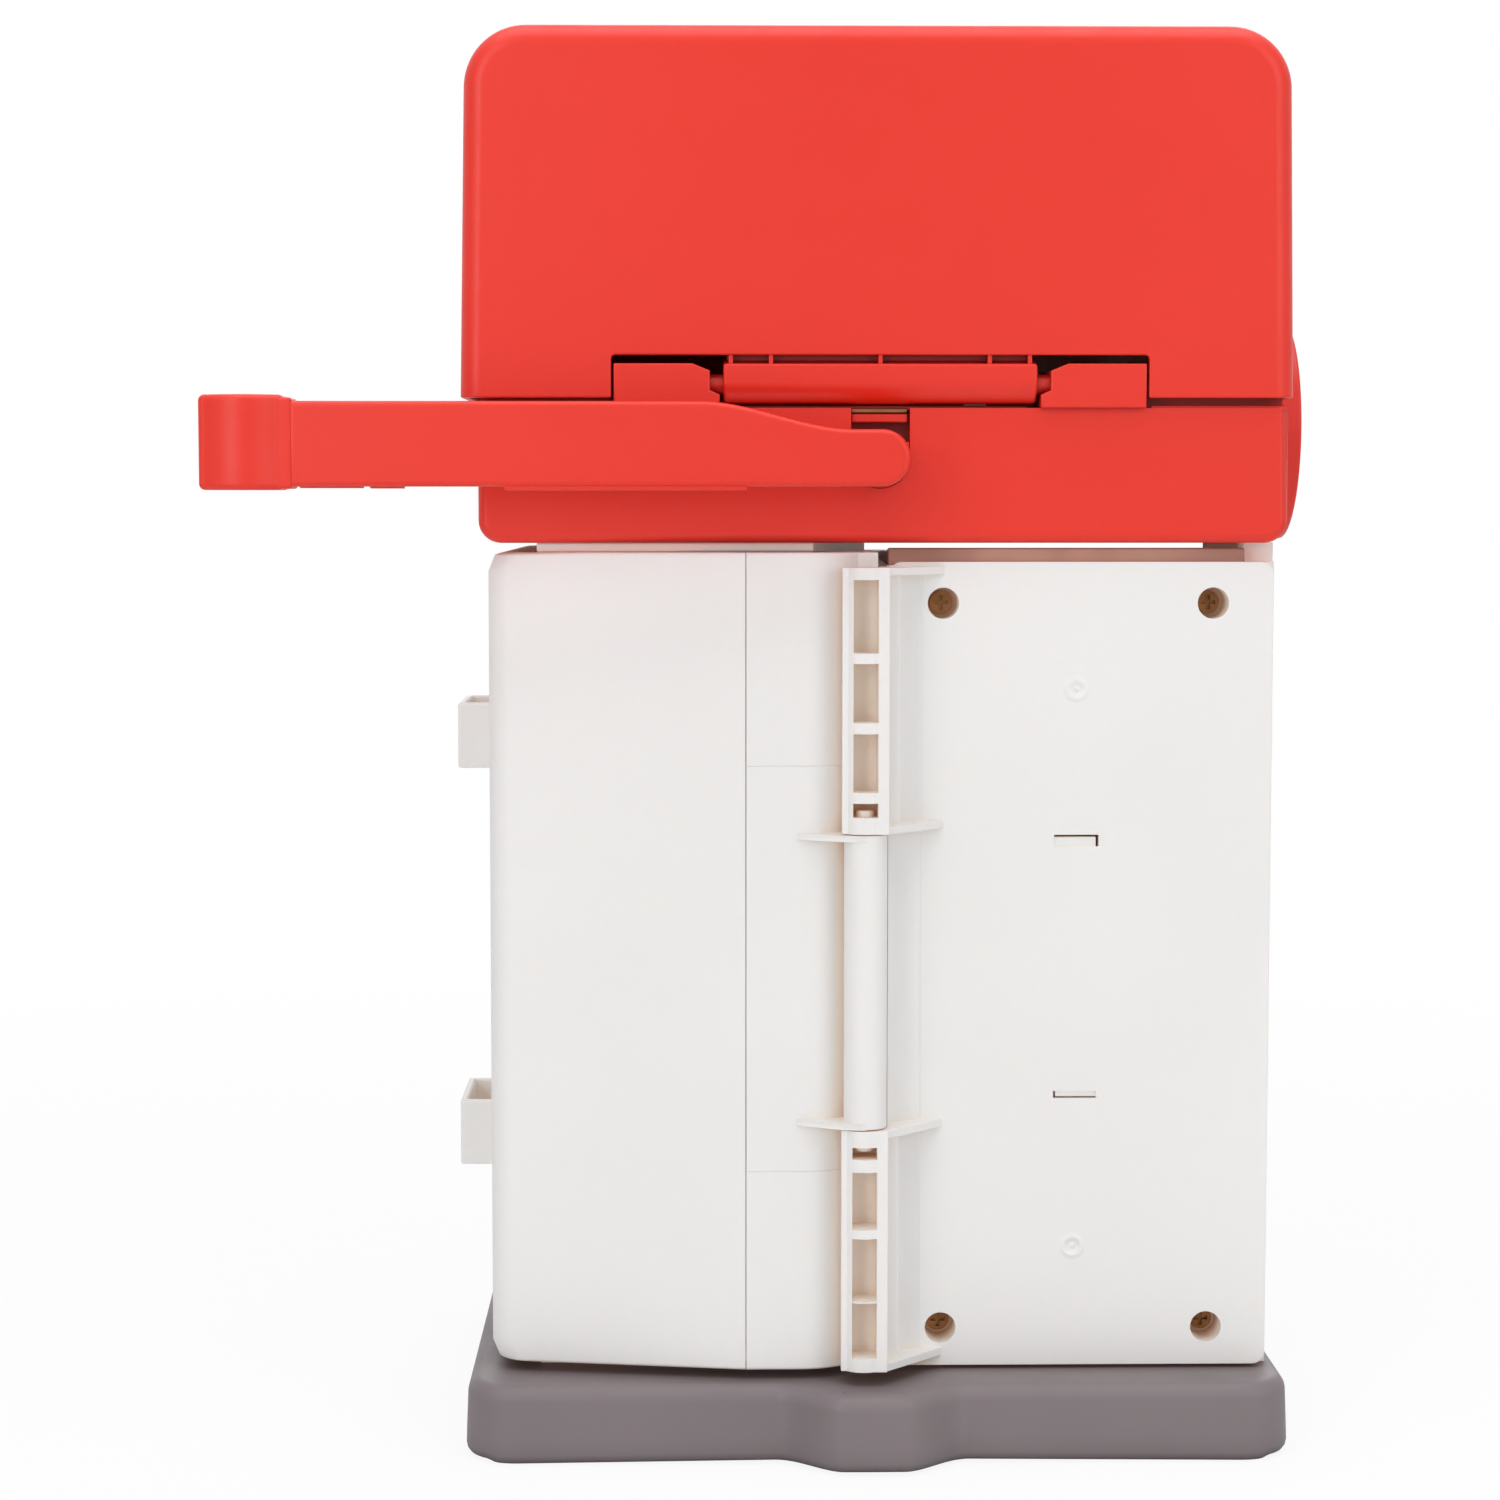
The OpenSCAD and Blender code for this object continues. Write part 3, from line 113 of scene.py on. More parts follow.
# a material or world being built, with short ways to add nodes and join their sockets
class Graph:
    def __init__(self, owner, outKind):
        owner.use_nodes = True
        self.tree = owner.node_tree
        self.tree.nodes.clear()
        self.out = self.tree.nodes.new(outKind)
        self.coord = None

    def add(self, kind, **values):
        node = self.tree.nodes.new(kind)
        for key, value in values.items():
            if key in node.inputs:
                node.inputs[key].default_value = value
            else:
                setattr(node, key, value)
        return node

    def join(self, source, target):
        self.tree.links.new(source, target)

    def place(self, stretch=None):
        if self.coord is None:
            self.coord = self.add("ShaderNodeTexCoord")
        if not stretch:
            return self.coord.outputs["Object"]
        mapping = self.add("ShaderNodeMapping")
        mapping.inputs["Scale"].default_value = stretch
        self.join(self.coord.outputs["Object"], mapping.inputs["Vector"])
        return mapping.outputs[0]

    def noise(self, pattern, scale, stretch=None):
        detail, rough = noiseSet[pattern]
        node = self.add("ShaderNodeTexNoise", Scale=scale, Detail=detail, Roughness=rough)
        self.join(self.place(stretch), node.inputs["Vector"])
        return node.outputs["Fac"]

    def span(self, source, low, high, fromLow=0.0, fromHigh=1.0):
        node = self.add("ShaderNodeMapRange")
        for key, value in (("From Min", fromLow), ("From Max", fromHigh), ("To Min", low), ("To Max", high)):
            node.inputs[key].default_value = value
        self.join(source, node.inputs["Value"])
        return node.outputs[0]

    def spread(self, pattern, source, low, high):
        return self.span(source, low, high, *spreadSet[pattern])

    def either(self, sockets):
        last = sockets[0]
        for socket in sockets[1:]:
            node = self.add("ShaderNodeMath", operation="MAXIMUM")
            self.join(last, node.inputs[0])
            self.join(socket, node.inputs[1])
            last = node.outputs[0]
        return last

    def mix(self, factor, first, second):
        node = self.add("ShaderNodeMix", data_type="RGBA")
        self.join(factor, node.inputs[0])
        for socket, value in ((node.inputs[6], first), (node.inputs[7], second)):
            if isinstance(value, tuple):
                socket.default_value = (*value, 1)
            else:
                self.join(value, socket)
        return node.outputs[2]


def makeWorld(s):
    world = bpy.data.worlds.new("studio")
    bpy.context.scene.world = world
    g = Graph(world, "ShaderNodeOutputWorld")
    path = g.add("ShaderNodeLightPath")
    seen = g.either([path.outputs[n] for n in ("Is Camera Ray", "Is Glossy Ray", "Is Transmission Ray")])
    back = g.add("ShaderNodeBackground", Color=(1, 1, 1, 1))
    g.join(g.span(seen, s["ambient"], s["seenWhite"]), back.inputs["Strength"])
    g.join(back.outputs[0], g.out.inputs["Surface"])


makeCamera(cameraSet)
for lampName, (place, aim, size, watts) in lampSet.items():
    makeLamp(lampName, place, aim, size, watts)
makeWorld(worldSet)
bpy.context.scene.view_settings.view_transform = "Standard"
print("stage: camera, lamps and world")


hollowSamples = 8     # rays that feel how open a place is


# moulded plastic: colour clouds at two scales, painted shade in deep corners and pits, fine grain and slow
# waves in the bump; a painted glow in narrow places stands for the light that thin white walls let through
def plasticMaterial(name, s):
    material = bpy.data.materials.new(name)
    g = Graph(material, "ShaderNodeOutputMaterial")
    shader = g.add("ShaderNodeBsdfPrincipled")
    shader.inputs["IOR"].default_value = s["ior"]
    shader.inputs["Specular IOR Level"].default_value = s.get("shine", 0.5)
    clouds = g.noise("clouds", s["cloudScale"])
    colour = g.mix(g.spread("clouds", clouds, 0.0, 1.0), s["deep"], s["light"])
    flow = g.noise("flow", s["flowScale"], s["flowStretch"])
    colour = g.mix(g.spread("flow", flow, 0.0, s["flowTint"]), colour, s["flowColour"])
    # painted shade: the base colour darkens and warms where the AO node finds the surface enclosed
    hollow = g.add("ShaderNodeAmbientOcclusion", samples=hollowSamples)
    hollow.inputs["Distance"].default_value = s["hollowReach"]
    openness = hollow.outputs["AO"]
    paintedHollowShare = g.span(openness, s["paintedHollowTint"], 0.0, s["hollowFrom"], s["hollowTo"])
    colour = g.mix(paintedHollowShare, colour, s["paintedHollowColour"])
    # painted shade: deep pits such as screw holes turn brown
    if s.get("pitShadeColour"):
        colour = g.mix(g.span(openness, 1.0, 0.0, s["pitFrom"], s["pitTo"]), colour, s["pitShadeColour"])
    g.join(colour, shader.inputs["Base Color"])
    patches = g.noise("patches", s["patchScale"])
    g.join(g.spread("patches", patches, s["roughLow"], s["roughHigh"]), shader.inputs["Roughness"])
    grainBump = g.add("ShaderNodeBump", Strength=s["grainStrength"], Distance=s["grainDepth"])
    g.join(g.noise("grain", s["grainScale"]), grainBump.inputs["Height"])
    waveBump = g.add("ShaderNodeBump", Strength=s["waveStrength"], Distance=s["waveDepth"])
    g.join(g.noise("waves", s["waveScale"]), waveBump.inputs["Height"])
    g.join(grainBump.outputs[0], waveBump.inputs["Normal"])
    g.join(waveBump.outputs[0], shader.inputs["Normal"])
    # painted glow: the plastic's own colour given out as emission where the AO node finds it enclosed
    if s.get("paintedGlow"):
        g.join(colour, shader.inputs["Emission Color"])
        g.join(g.span(openness, s["paintedGlow"], 0.0, s["paintedGlowFrom"], s["paintedGlowTo"]), shader.inputs["Emission Strength"])
    if s.get("glow"):
        shader.inputs["Subsurface Weight"].default_value = s["glow"]
        shader.inputs["Subsurface Radius"].default_value = s["glowReach"]
        shader.inputs["Subsurface Scale"].default_value = 1.0
    g.join(shader.outputs[0], g.out.inputs["Surface"])
    return material


# turned, drawn or plated steel: fine stretched lines in roughness and bump, with faint stains in the colour
def metalMaterial(name, s):
    material = bpy.data.materials.new(name)
    g = Graph(material, "ShaderNodeOutputMaterial")
    shader = g.add("ShaderNodeBsdfPrincipled", Metallic=1.0)
    stains = g.noise("stains", s["stainScale"])
    g.join(g.mix(g.spread("stains", stains, 0.0, 1.0), s["deep"], s["light"]), shader.inputs["Base Color"])
    lines = g.noise("lines", s["lineScale"], s["lineStretch"])
    g.join(g.spread("lines", lines, s["roughLow"], s["roughHigh"]), shader.inputs["Roughness"])
    bump = g.add("ShaderNodeBump", Strength=s["lineStrength"], Distance=s["lineDepth"])
    g.join(lines, bump.inputs["Height"])
    g.join(bump.outputs[0], shader.inputs["Normal"])
    g.join(shader.outputs[0], g.out.inputs["Surface"])
    return material


# colours are linear; reaches and depths of bumps are in metres, scales are patterns per metre
redSet = {
    "ior": 1.46, "shine": 0.55, "cloudScale": 7, "deep": (0.710, 0.019, 0.005), "light": (0.750, 0.023, 0.008),
    "flowScale": 3, "flowStretch": (1, 1, 5), "flowTint": 0.12, "flowColour": (0.80, 0.036, 0.018),
    # painted shade: a dark red tint in corners and creases
    "hollowReach": 0.010, "hollowFrom": 0.15, "hollowTo": 0.75, "paintedHollowTint": 0.75,
    "paintedHollowColour": (0.30, 0.002, 0.004),
    "patchScale": 90, "roughLow": 0.38, "roughHigh": 0.46,
    "grainScale": 2600, "grainStrength": 0.10, "grainDepth": 0.00006,
    "waveScale": 26, "waveStrength": 0.10, "waveDepth": 0.0004,
}
whiteSet = {
    "ior": 1.46, "cloudScale": 8, "deep": (0.775, 0.765, 0.752), "light": (0.810, 0.800, 0.790),
    "flowScale": 4, "flowStretch": (1, 1, 0.3), "flowTint": 0.12, "flowColour": (0.80, 0.765, 0.755),
    # painted shade: warm beige in corners and pockets, brown in deep pits such as the screw holes, with a
    # painted glow there
    "hollowReach": 0.013, "hollowFrom": 0.16, "hollowTo": 0.60, "paintedHollowTint": 0.85,
    "paintedHollowColour": (0.84, 0.74, 0.63),
    "pitFrom": 0.03, "pitTo": 0.15, "pitShadeColour": (0.52, 0.25, 0.11),
    "paintedGlow": 0.11, "paintedGlowFrom": 0.10, "paintedGlowTo": 0.62,
    "patchScale": 70, "roughLow": 0.42, "roughHigh": 0.54,
    "grainScale": 2200, "grainStrength": 0.08, "grainDepth": 0.00006,
    "waveScale": 22, "waveStrength": 0.08, "waveDepth": 0.0004,
    "glow": 0.08, "glowReach": (0.004, 0.0022, 0.0012),
}
# the housing's white, with a painted pink reflection of the red head in its hollows and a stronger painted glow
innerSet = dict(whiteSet, paintedHollowColour=(0.88, 0.58, 0.50), paintedHollowTint=0.95, pitShadeColour=None, paintedGlow=0.24)
# white plastic painted brown and red as the shade under the red head: painted shade with a painted red
# reflection
shadeSet = dict(whiteSet, deep=(0.24, 0.08, 0.052), light=(0.56, 0.31, 0.23), cloudScale=22, paintedHollowTint=0.3,
                paintedHollowColour=(0.30, 0.10, 0.06), pitShadeColour=None, paintedGlow=0.10)
greySet = {
    "ior": 1.45, "cloudScale": 9, "deep": (0.176, 0.147, 0.156), "light": (0.204, 0.172, 0.181),
    "flowScale": 6, "flowStretch": (0.4, 1, 3), "flowTint": 0.15, "flowColour": (0.22, 0.19, 0.195),
    # painted shade: a near-black tint in corners and recesses
    "hollowReach": 0.012, "hollowFrom": 0.15, "hollowTo": 0.8, "paintedHollowTint": 0.7,
    "paintedHollowColour": (0.06, 0.045, 0.045),
    "patchScale": 60, "roughLow": 0.44, "roughHigh": 0.56,
    "grainScale": 1500, "grainStrength": 0.20, "grainDepth": 0.00012,
    "waveScale": 18, "waveStrength": 0.08, "waveDepth": 0.0004,
}
# the rubber keeps the grey's painted shade in corners, nearly black
rubberSet = dict(greySet, deep=(0.020, 0.020, 0.021), light=(0.035, 0.034, 0.035),
                 flowColour=(0.05, 0.05, 0.05), paintedHollowColour=(0.01, 0.01, 0.01), roughLow=0.7, roughHigh=0.85)
steelSet = {"stainScale": 40, "deep": (0.55, 0.55, 0.57), "light": (0.68, 0.68, 0.70), "lineScale": 300,
            "lineStretch": (1, 6, 1), "lineStrength": 0.25, "lineDepth": 0.00005,
            "roughLow": 0.24, "roughHigh": 0.42}
wireSet = dict(steelSet, deep=(0.66, 0.66, 0.68), light=(0.78, 0.78, 0.80), roughLow=0.18, roughHigh=0.30)
# screw metal darkened to brown: painted shade for the depth of the screw holes; the slot plate wears it too
shadedPlatedSet = dict(steelSet, deep=(0.24, 0.11, 0.045), light=(0.36, 0.18, 0.08), roughLow=0.45, roughHigh=0.6)

finishes = {
    "red_plastic": plasticMaterial("redMoulding", redSet),
    "white_plastic": plasticMaterial("whiteMoulding", whiteSet),
    "grey_plastic": plasticMaterial("greyBase", greySet),
    "foot_rubber": plasticMaterial("footRubber", rubberSet),
    "steel": metalMaterial("turnedSteel", steelSet),
    "wire_steel": metalMaterial("cuttingWire", wireSet),
}
# looks of their own, by node or, for "shade", by the look that a piece asks for
special = {
    "housing": plasticMaterial("whiteInnerPaintedRed", innerSet),
    "cover_screws": metalMaterial("screwMetalPaintedShade", shadedPlatedSet),
    "shade": plasticMaterial("whiteInShade", shadeSet),
}
for screwNode in ("leaf_screws", "head_screws", "base_screws", "bracket_screws"):
    special[screwNode] = special["cover_screws"]
slotOf = {row["node"]: row["material_slot"] for row in frame["record"]["subparts"]}
bodyOf = {n: b for b, names in frame["record"]["behaviour"]["bodies"].items() for n in names}


def dress(piece, nodeName):
    piece.data.materials.clear()
    piece.data.materials.append(special.get(nodeName) or finishes[slotOf[nodeName]])


for nodeName, nodeObject in frame["nodes"].items():
    dress(nodeObject, nodeName)
print("stage: materials")


# every new mesh: points in mm, faces as lists of point numbers
def addMesh(name, points, faces):
    mesh = bpy.data.meshes.new(name)
    mesh.from_pydata((np.asarray(points) * mm).tolist(), [], faces)
    piece = bpy.data.objects.new(name, mesh)
    bpy.context.scene.collection.objects.link(piece)
    return piece


# quads between neighbouring rows and columns; around also joins the last column to the first
def gridFaces(rows, columns, around):
    r = np.arange(rows - 1)[:, None]
    c = np.arange(columns if around else columns - 1)[None, :]
    n = (c + 1) % columns
    quads = np.stack([r * columns + c, r * columns + n, (r + 1) * columns + n, (r + 1) * columns + c], -1)
    return quads.reshape(-1, 4).tolist()


# points at even angles on a circle: centre + r (cos a, sin a)
def arc(cx, cy, r, start, end, count):
    a = np.radians(np.linspace(start, end, count))
    return np.stack([cx + r * np.cos(a), cy + r * np.sin(a)], -1)


# a rectangle, counter-clockwise, with a quarter circle of radius r at each corner
def roundRect(x0, x1, y0, y1, r):
    return np.vstack([arc(x0 + r, y0 + r, r, 180, 270, 5), arc(x1 - r, y0 + r, r, 270, 360, 5),
                      arc(x1 - r, y1 - r, r, 0, 90, 5), arc(x0 + r, y1 - r, r, 90, 180, 5)])


# the outline moved inwards: point minus distance times its outward mitred normal, for every distance
def drawnIn(outline, distances, closed=True):
    first, second = outline - np.roll(outline, 1, 0), np.roll(outline, -1, 0) - outline
    if not closed:
        first[0], second[-1] = second[0], first[-1]
    normals = []
    for side in (first, second):
        length = np.maximum(np.linalg.norm(side, axis=1, keepdims=True), 1e-9)
        normals.append(np.stack([side[:, 1], -side[:, 0]], -1) / length)
    middle = normals[0] + normals[1]
    middle /= np.maximum(np.linalg.norm(middle, axis=1, keepdims=True), 1e-9)
    stretch = 1 / np.maximum((middle * normals[0]).sum(1, keepdims=True), 0.5)
    return outline[None] - np.asarray(distances)[:, None, None] * (middle * stretch)[None]


# insets and depths of a plate's rings: edge (1 - sin a) and edge (1 - cos a), mirrored at the far face
def roundSteps(edge, low, high, steps):
    a = np.linspace(0, math.pi / 2, steps)
    inset, depth = edge * (1 - np.sin(a)), edge * (1 - np.cos(a))
    return np.r_[inset, inset[::-1]], np.r_[low + depth, high - depth[::-1]]


# rings of plane points with one depth each, laid out as X, Y, Z; in plane XZ the depth runs along -Y
def laid(outlines, depths, plane):
    u, v = outlines[..., 0], outlines[..., 1]
    deep = np.broadcast_to(np.asarray(depths)[:, None], u.shape)
    return np.stack({"XY": (u, v, deep), "XZ": (u, -deep, v), "YZ": (deep, u, v)}[plane], -1)


# quads between the rings, and one face over the first and the last ring
def capped(name, rings):
    rows, columns = rings.shape[:2]
    faces = gridFaces(rows, columns, True)
    faces.append(list(range(columns))[::-1])
    faces.append([(rows - 1) * columns + c for c in range(columns)])
    return addMesh(name, rings.reshape(-1, 3), faces)


# an outline carried from low to high with its rim drawn in by a quarter circle at both faces
def plate(name, outline, low, high, edge, plane, steps):
    insets, depths = roundSteps(edge, low, high, steps)
    return capped(name, laid(drawnIn(np.asarray(outline, float), insets), depths, plane))


# a box from its X, Y and Z ranges: a rounded rectangle carried along Z
def block(name, x, y, z, edge, corner=None):
    return plate(name, roundRect(*x, *y, corner or edge), *z, edge, "XY", 4)


# profile (radius, distance along the axis) turned about an axis through centre: (r cos a, r sin a)
def lathe(name, profile, centre, axis, sides=64):
    a = np.linspace(0, 2 * math.pi, sides, endpoint=False)[None, :]
    profile = np.asarray(profile, float)
    r, d = profile[:, 0][:, None], profile[:, 1][:, None] + 0 * a
    u, v = r * np.cos(a), r * np.sin(a)
    rings = np.stack({"X": (d, u, v), "Y": (v, d, u), "Z": (u, v, d)}[axis], -1) + np.asarray(centre)
    return addMesh(name, rings.reshape(-1, 3), gridFaces(len(profile), sides, True))


# a shaft's profile: radius r from low to high, with a quarter circle of radius edge at both rims
def rodProfile(r, low, high, edge):
    first = arc(low + edge, r - edge, edge, 180, 90, 4)[:, ::-1]
    second = arc(high - edge, r - edge, edge, 90, 0, 4)[:, ::-1]
    return np.vstack([[[0, low]], first, second, [[0, high]]])


mergeSet = {"own": 1e-6, "copy": 2e-6, "flatAngle": 0.6}    # metres, metres, degrees


# doubled points merged and all faces turned outwards
def cleaned(piece):
    work = bmesh.new()
    work.from_mesh(piece.data)
    bmesh.ops.remove_doubles(work, verts=work.verts, dist=mergeSet["own"])
    bmesh.ops.recalc_face_normals(work, faces=work.faces)
    work.to_mesh(piece.data)
    work.free()


# closed surfaces kept side by side in one mesh
def joined(name, parts):
    work = bmesh.new()
    for part in parts:
        cleaned(part)
        work.from_mesh(part.data)
    mesh = bpy.data.meshes.new(name)
    work.to_mesh(mesh)
    work.free()
    for part in parts:
        bpy.data.objects.remove(part)
    piece = bpy.data.objects.new(name, mesh)
    bpy.context.scene.collection.objects.link(piece)
    return piece


# wall, rounded rims and shading, then the node that the piece stands for, with its body and slot
def settle(piece, nodeName, smooth=38, wall=0, rim=0, steps=2, rimAngle=50, look=None):
    if wall:
        thick = piece.modifiers.new("wall", "SOLIDIFY")
        thick.thickness = wall * mm
        thick.offset = -1
        thick.use_even_offset = True
    if rim:
        bevel = piece.modifiers.new("rim", "BEVEL")
        bevel.width = rim * mm
        bevel.segments = steps
        bevel.limit_method = "ANGLE"
        bevel.angle_limit = math.radians(rimAngle)
    piece.data.shade_smooth()
    piece.data.set_sharp_from_angle(angle=math.radians(smooth))
    even = piece.modifiers.new("even", "WEIGHTED_NORMAL")
    even.keep_sharp = True
    dress(piece, look or nodeName)
    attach(piece, bodyOf[nodeName])
    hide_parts(nodeName)


# a CAD node's own shape with its crisp edges rounded: points merged, flat areas joined, edges bevelled by
# a circle of radius rim
def softCopy(nodeName, s):
    mesh = frame["nodes"][nodeName].data.copy()
    piece = bpy.data.objects.new(nodeName + "_soft", mesh)
    bpy.context.scene.collection.objects.link(piece)
    work = bmesh.new()
    work.from_mesh(mesh)
    bmesh.ops.remove_doubles(work, verts=work.verts, dist=mergeSet["copy"])
    flat = math.radians(mergeSet["flatAngle"])
    bmesh.ops.dissolve_limit(work, angle_limit=flat, verts=work.verts, edges=work.edges)
    work.to_mesh(mesh)
    work.free()
    settle(piece, nodeName, s.get("smooth", 38), rim=s["rim"], steps=s.get("steps", 2), rimAngle=40)


# rim: radius of the rounded edges in mm
softSet = {
    "head_tray": {"rim": 0.45, "steps": 3, "smooth": 35},
    "rear_cover": {"rim": 0.4, "steps": 2},
    "upper_hook": {"rim": 0.7, "steps": 3},
    "lower_hook": {"rim": 0.7, "steps": 3},
    "housing": {"rim": 0.35},
    "slice_bin": {"rim": 0.5},
    "slice_funnel": {"rim": 0.35},
    "egg_cradle": {"rim": 0.3, "smooth": 30},
    "gear_bracket": {"rim": 0.3},
    "lever_bush": {"rim": 0.3},
    "cradle_bearing": {"rim": 0.3},
    "frame_bearing": {"rim": 0.3},
    "wire_frame": {"rim": 0.3},
    "storage_shelf": {"rim": 0.3},
}
for nodeName, settings in softSet.items():
    softCopy(nodeName, settings)
print("stage: soft copies")

# lid: all in mm; the barrel's brow is the square shoulder on top of it
lidSet = {
    "leftLow": -111.0, "rightLow": 110.0, "leftHigh": -109.4, "rightHigh": 108.4, "low": 283.4, "high": 380.9,
    "corner": 16.5, "halfY": 78, "edge": 5.4, "wall": 2.5, "rim": 0.5,
    "notchHalf": 71.0, "notchTop": 294.6, "notchRound": 1.1,
    "pivotY": -72.6, "pivotZ": 287.0, "stub": 2.7, "stubHalf": 52.5,
    "barrelY": -72.2, "barrelZ": 287.6, "barrel": 5.8, "barrelHalf": 41.5, "barrelRim": 0.9, "browDrop": 1.0,
    "webThick": 2, "shelfUp": (3, 5), "shelfIn": 1.6,
    "ribs": (-39.5, -28.9, 0.0, 28.9, 39.5), "ribWidth": 1.2, "ribIn": 1.2, "ribUp": 4.6,
    "finger": {"half": 26, "inside": 1, "out": 5, "thick": 3, "edge": 0.9, "corner": 2.2},
}


# left wall, quarter circle, top, quarter circle, right wall; both walls lean in towards the top
def lidArch(s):
    r = s["corner"]
    z = np.linspace(s["low"], s["high"] - r, 12)
    t = (z - s["low"]) / (s["high"] - s["low"])
    left = np.stack([s["leftLow"] + (s["leftHigh"] - s["leftLow"]) * t, z], -1)
    right = np.stack([s["rightLow"] + (s["rightHigh"] - s["rightLow"]) * t, z], -1)[::-1]
    x0, x1 = left[-1, 0] + r, right[0, 0] - r
    top = np.stack([np.linspace(x0, x1, 26), np.full(26, s["high"])], -1)
    return np.vstack([left, arc(x0, s["high"] - r, r, 180, 90, 20)[1:], top[1:-1],
                      arc(x1, s["high"] - r, r, 90, 0, 20), right[1:]])


# the arch carried along Y and drawn in by a quarter circle at both ends; the rear end wall has the notch
def lidShell(s):
    insets, depths = roundSteps(s["edge"], -s["halfY"], s["halfY"], 10)
    arch = drawnIn(lidArch(s)[::-1], insets, closed=False)[:, ::-1]
    arch[:, 0, 1] = arch[:, -1, 1] = s["low"]
    rings = laid(arch, depths, "XZ")
    rows, columns = rings.shape[:2]
    h, top, r = s["notchHalf"], s["notchTop"], s["notchRound"]
    notch = np.vstack([[[h, s["low"]]], arc(h - r, top - r, r, 0, 90, 5), arc(r - h, top - r, r, 90, 180, 5),
                       [[-h, s["low"]]]])
    notch = np.insert(notch, 1, rings[-1, 0, 1], axis=1)
    first = rows * columns
    faces = gridFaces(rows, columns, False)
    faces.append(list(range(columns))[::-1])
    faces.append([first - columns + c for c in range(columns)] + [first + i for i in range(len(notch))])
    piece = addMesh("lid_moulding", np.vstack([rings.reshape(-1, 3), notch]), faces)
    cleaned(piece)
    settle(piece, "lid", 35, wall=s["wall"], rim=s["rim"])


# two turned rods, r (cos a, sin a) about X, with boxes that carry them under the lid's rear wall
def lidHinge(s):
    y, z, r, half, top = s["pivotY"], s["pivotZ"], s["barrel"], s["barrelHalf"], s["notchTop"]
    barrelY, barrelZ, thick = s["barrelY"], s["barrelZ"], s["webThick"]
    shelfLow, shelfHigh = s["shelfUp"]
    inner = (-half + 1, half - 1)
    parts = [
        lathe("barrel", rodProfile(r, -half, half, s["barrelRim"]), (0, barrelY, barrelZ), "X"),
        lathe("stub", rodProfile(s["stub"], -s["stubHalf"], s["stubHalf"], 0.4), (0, y, z), "X", 32),
        block("brow", (-half, half), (barrelY - r, barrelY), (barrelZ - 1, barrelZ + r - s["browDrop"]), 0.8),
        block("web", inner, (y, y + thick), (z + thick, top + shelfHigh), 0.3),
        block("shelf", inner, (y - r + s["shelfIn"], y + thick), (top + shelfLow, top + shelfHigh), 0.3),
    ]
    for x in s["ribs"]:
        w = s["ribWidth"] / 2
        parts.append(block("rib", (x - w, x + w), (y - r + s["ribIn"], y + 1), (z, top + s["ribUp"]), 0.25))
    settle(joined("lid_hinge", parts), "lid")


# lip for the fingers: a flat box along the lower front edge
def fingerLip(s, f):
    y, z = s["halfY"], s["low"]
    lip = block("finger_lip", (-f["half"], f["half"]), (y - f["inside"], y + f["out"]), (z, z + f["thick"]),
                f["edge"], f["corner"])
    cleaned(lip)
    settle(lip, "lid")


lidShell(lidSet)
lidHinge(lidSet)
fingerLip(lidSet, lidSet["finger"])

# hinge blocks: outline in X and Z for the right block, mirrored for the left
blockSet = {"inner": 45.0, "outer": 70.4, "low": 280.8, "high": 292.4, "step": 42.4, "stepTop": 284.2,
            "cutFrom": 49.6, "cutDrop": 1.9, "stepSlope": 1.2, "nearY": -78, "farY": -67.2, "edge": 0.5,
            "footIn": 2, "footY": (-72.2, -67.2), "footZ": (272, 282)}


# a seven-sided outline carried along Y, on a box that goes down into the tray
def hingeBlock(side, s):
    outline = np.array([
        [s["step"], s["low"]], [s["outer"], s["low"]], [s["outer"], s["high"]], [s["cutFrom"], s["high"]],
        [s["inner"], s["high"] - s["cutDrop"]], [s["inner"], s["stepTop"] + s["stepSlope"]],
        [s["step"], s["stepTop"]]])
    if side < 0:
        outline = (outline * (-1, 1))[::-1]
    name = "hinge_block_" + ("right" if side > 0 else "left")
    body = plate("blockBody", outline, -s["farY"], -s["nearY"], s["edge"], "XZ", 6)
    x = sorted((side * (s["inner"] + s["footIn"]), side * (s["outer"] - s["footIn"])))
    foot = block("blockFoot", x, s["footY"], s["footZ"], 0.4)
    settle(joined(name + "_moulding", [body, foot]), name)


for side in (-1, 1):
    hingeBlock(side, blockSet)
print("stage: lid and hinge")

# lever arm: outline in X and Z
armSet = {"left": -152.6, "low": 259.9, "high": 281.7, "tipX": -0.9, "tipZ": 267.25, "tipR": 7.3,
          "curveFrom": -48, "curveTo": -8, "lowPoints": (-130, -80, -20), "highPoint": -80,
          "nearY": -105, "farY": -92, "edge": 1.5, "lipUp": 1.6, "boss": 7, "bossTo": -75.6, "bossZ": 267.3,
          # thin lips under the arm: from and to in X, drop, and how far they stand in from both faces
          "lips": ((-98, -35.6, 1.0, 1.0), (-150.5, -134.5, 0.4, 2.2), (-132.5, -124, 0.5, 2.2))}


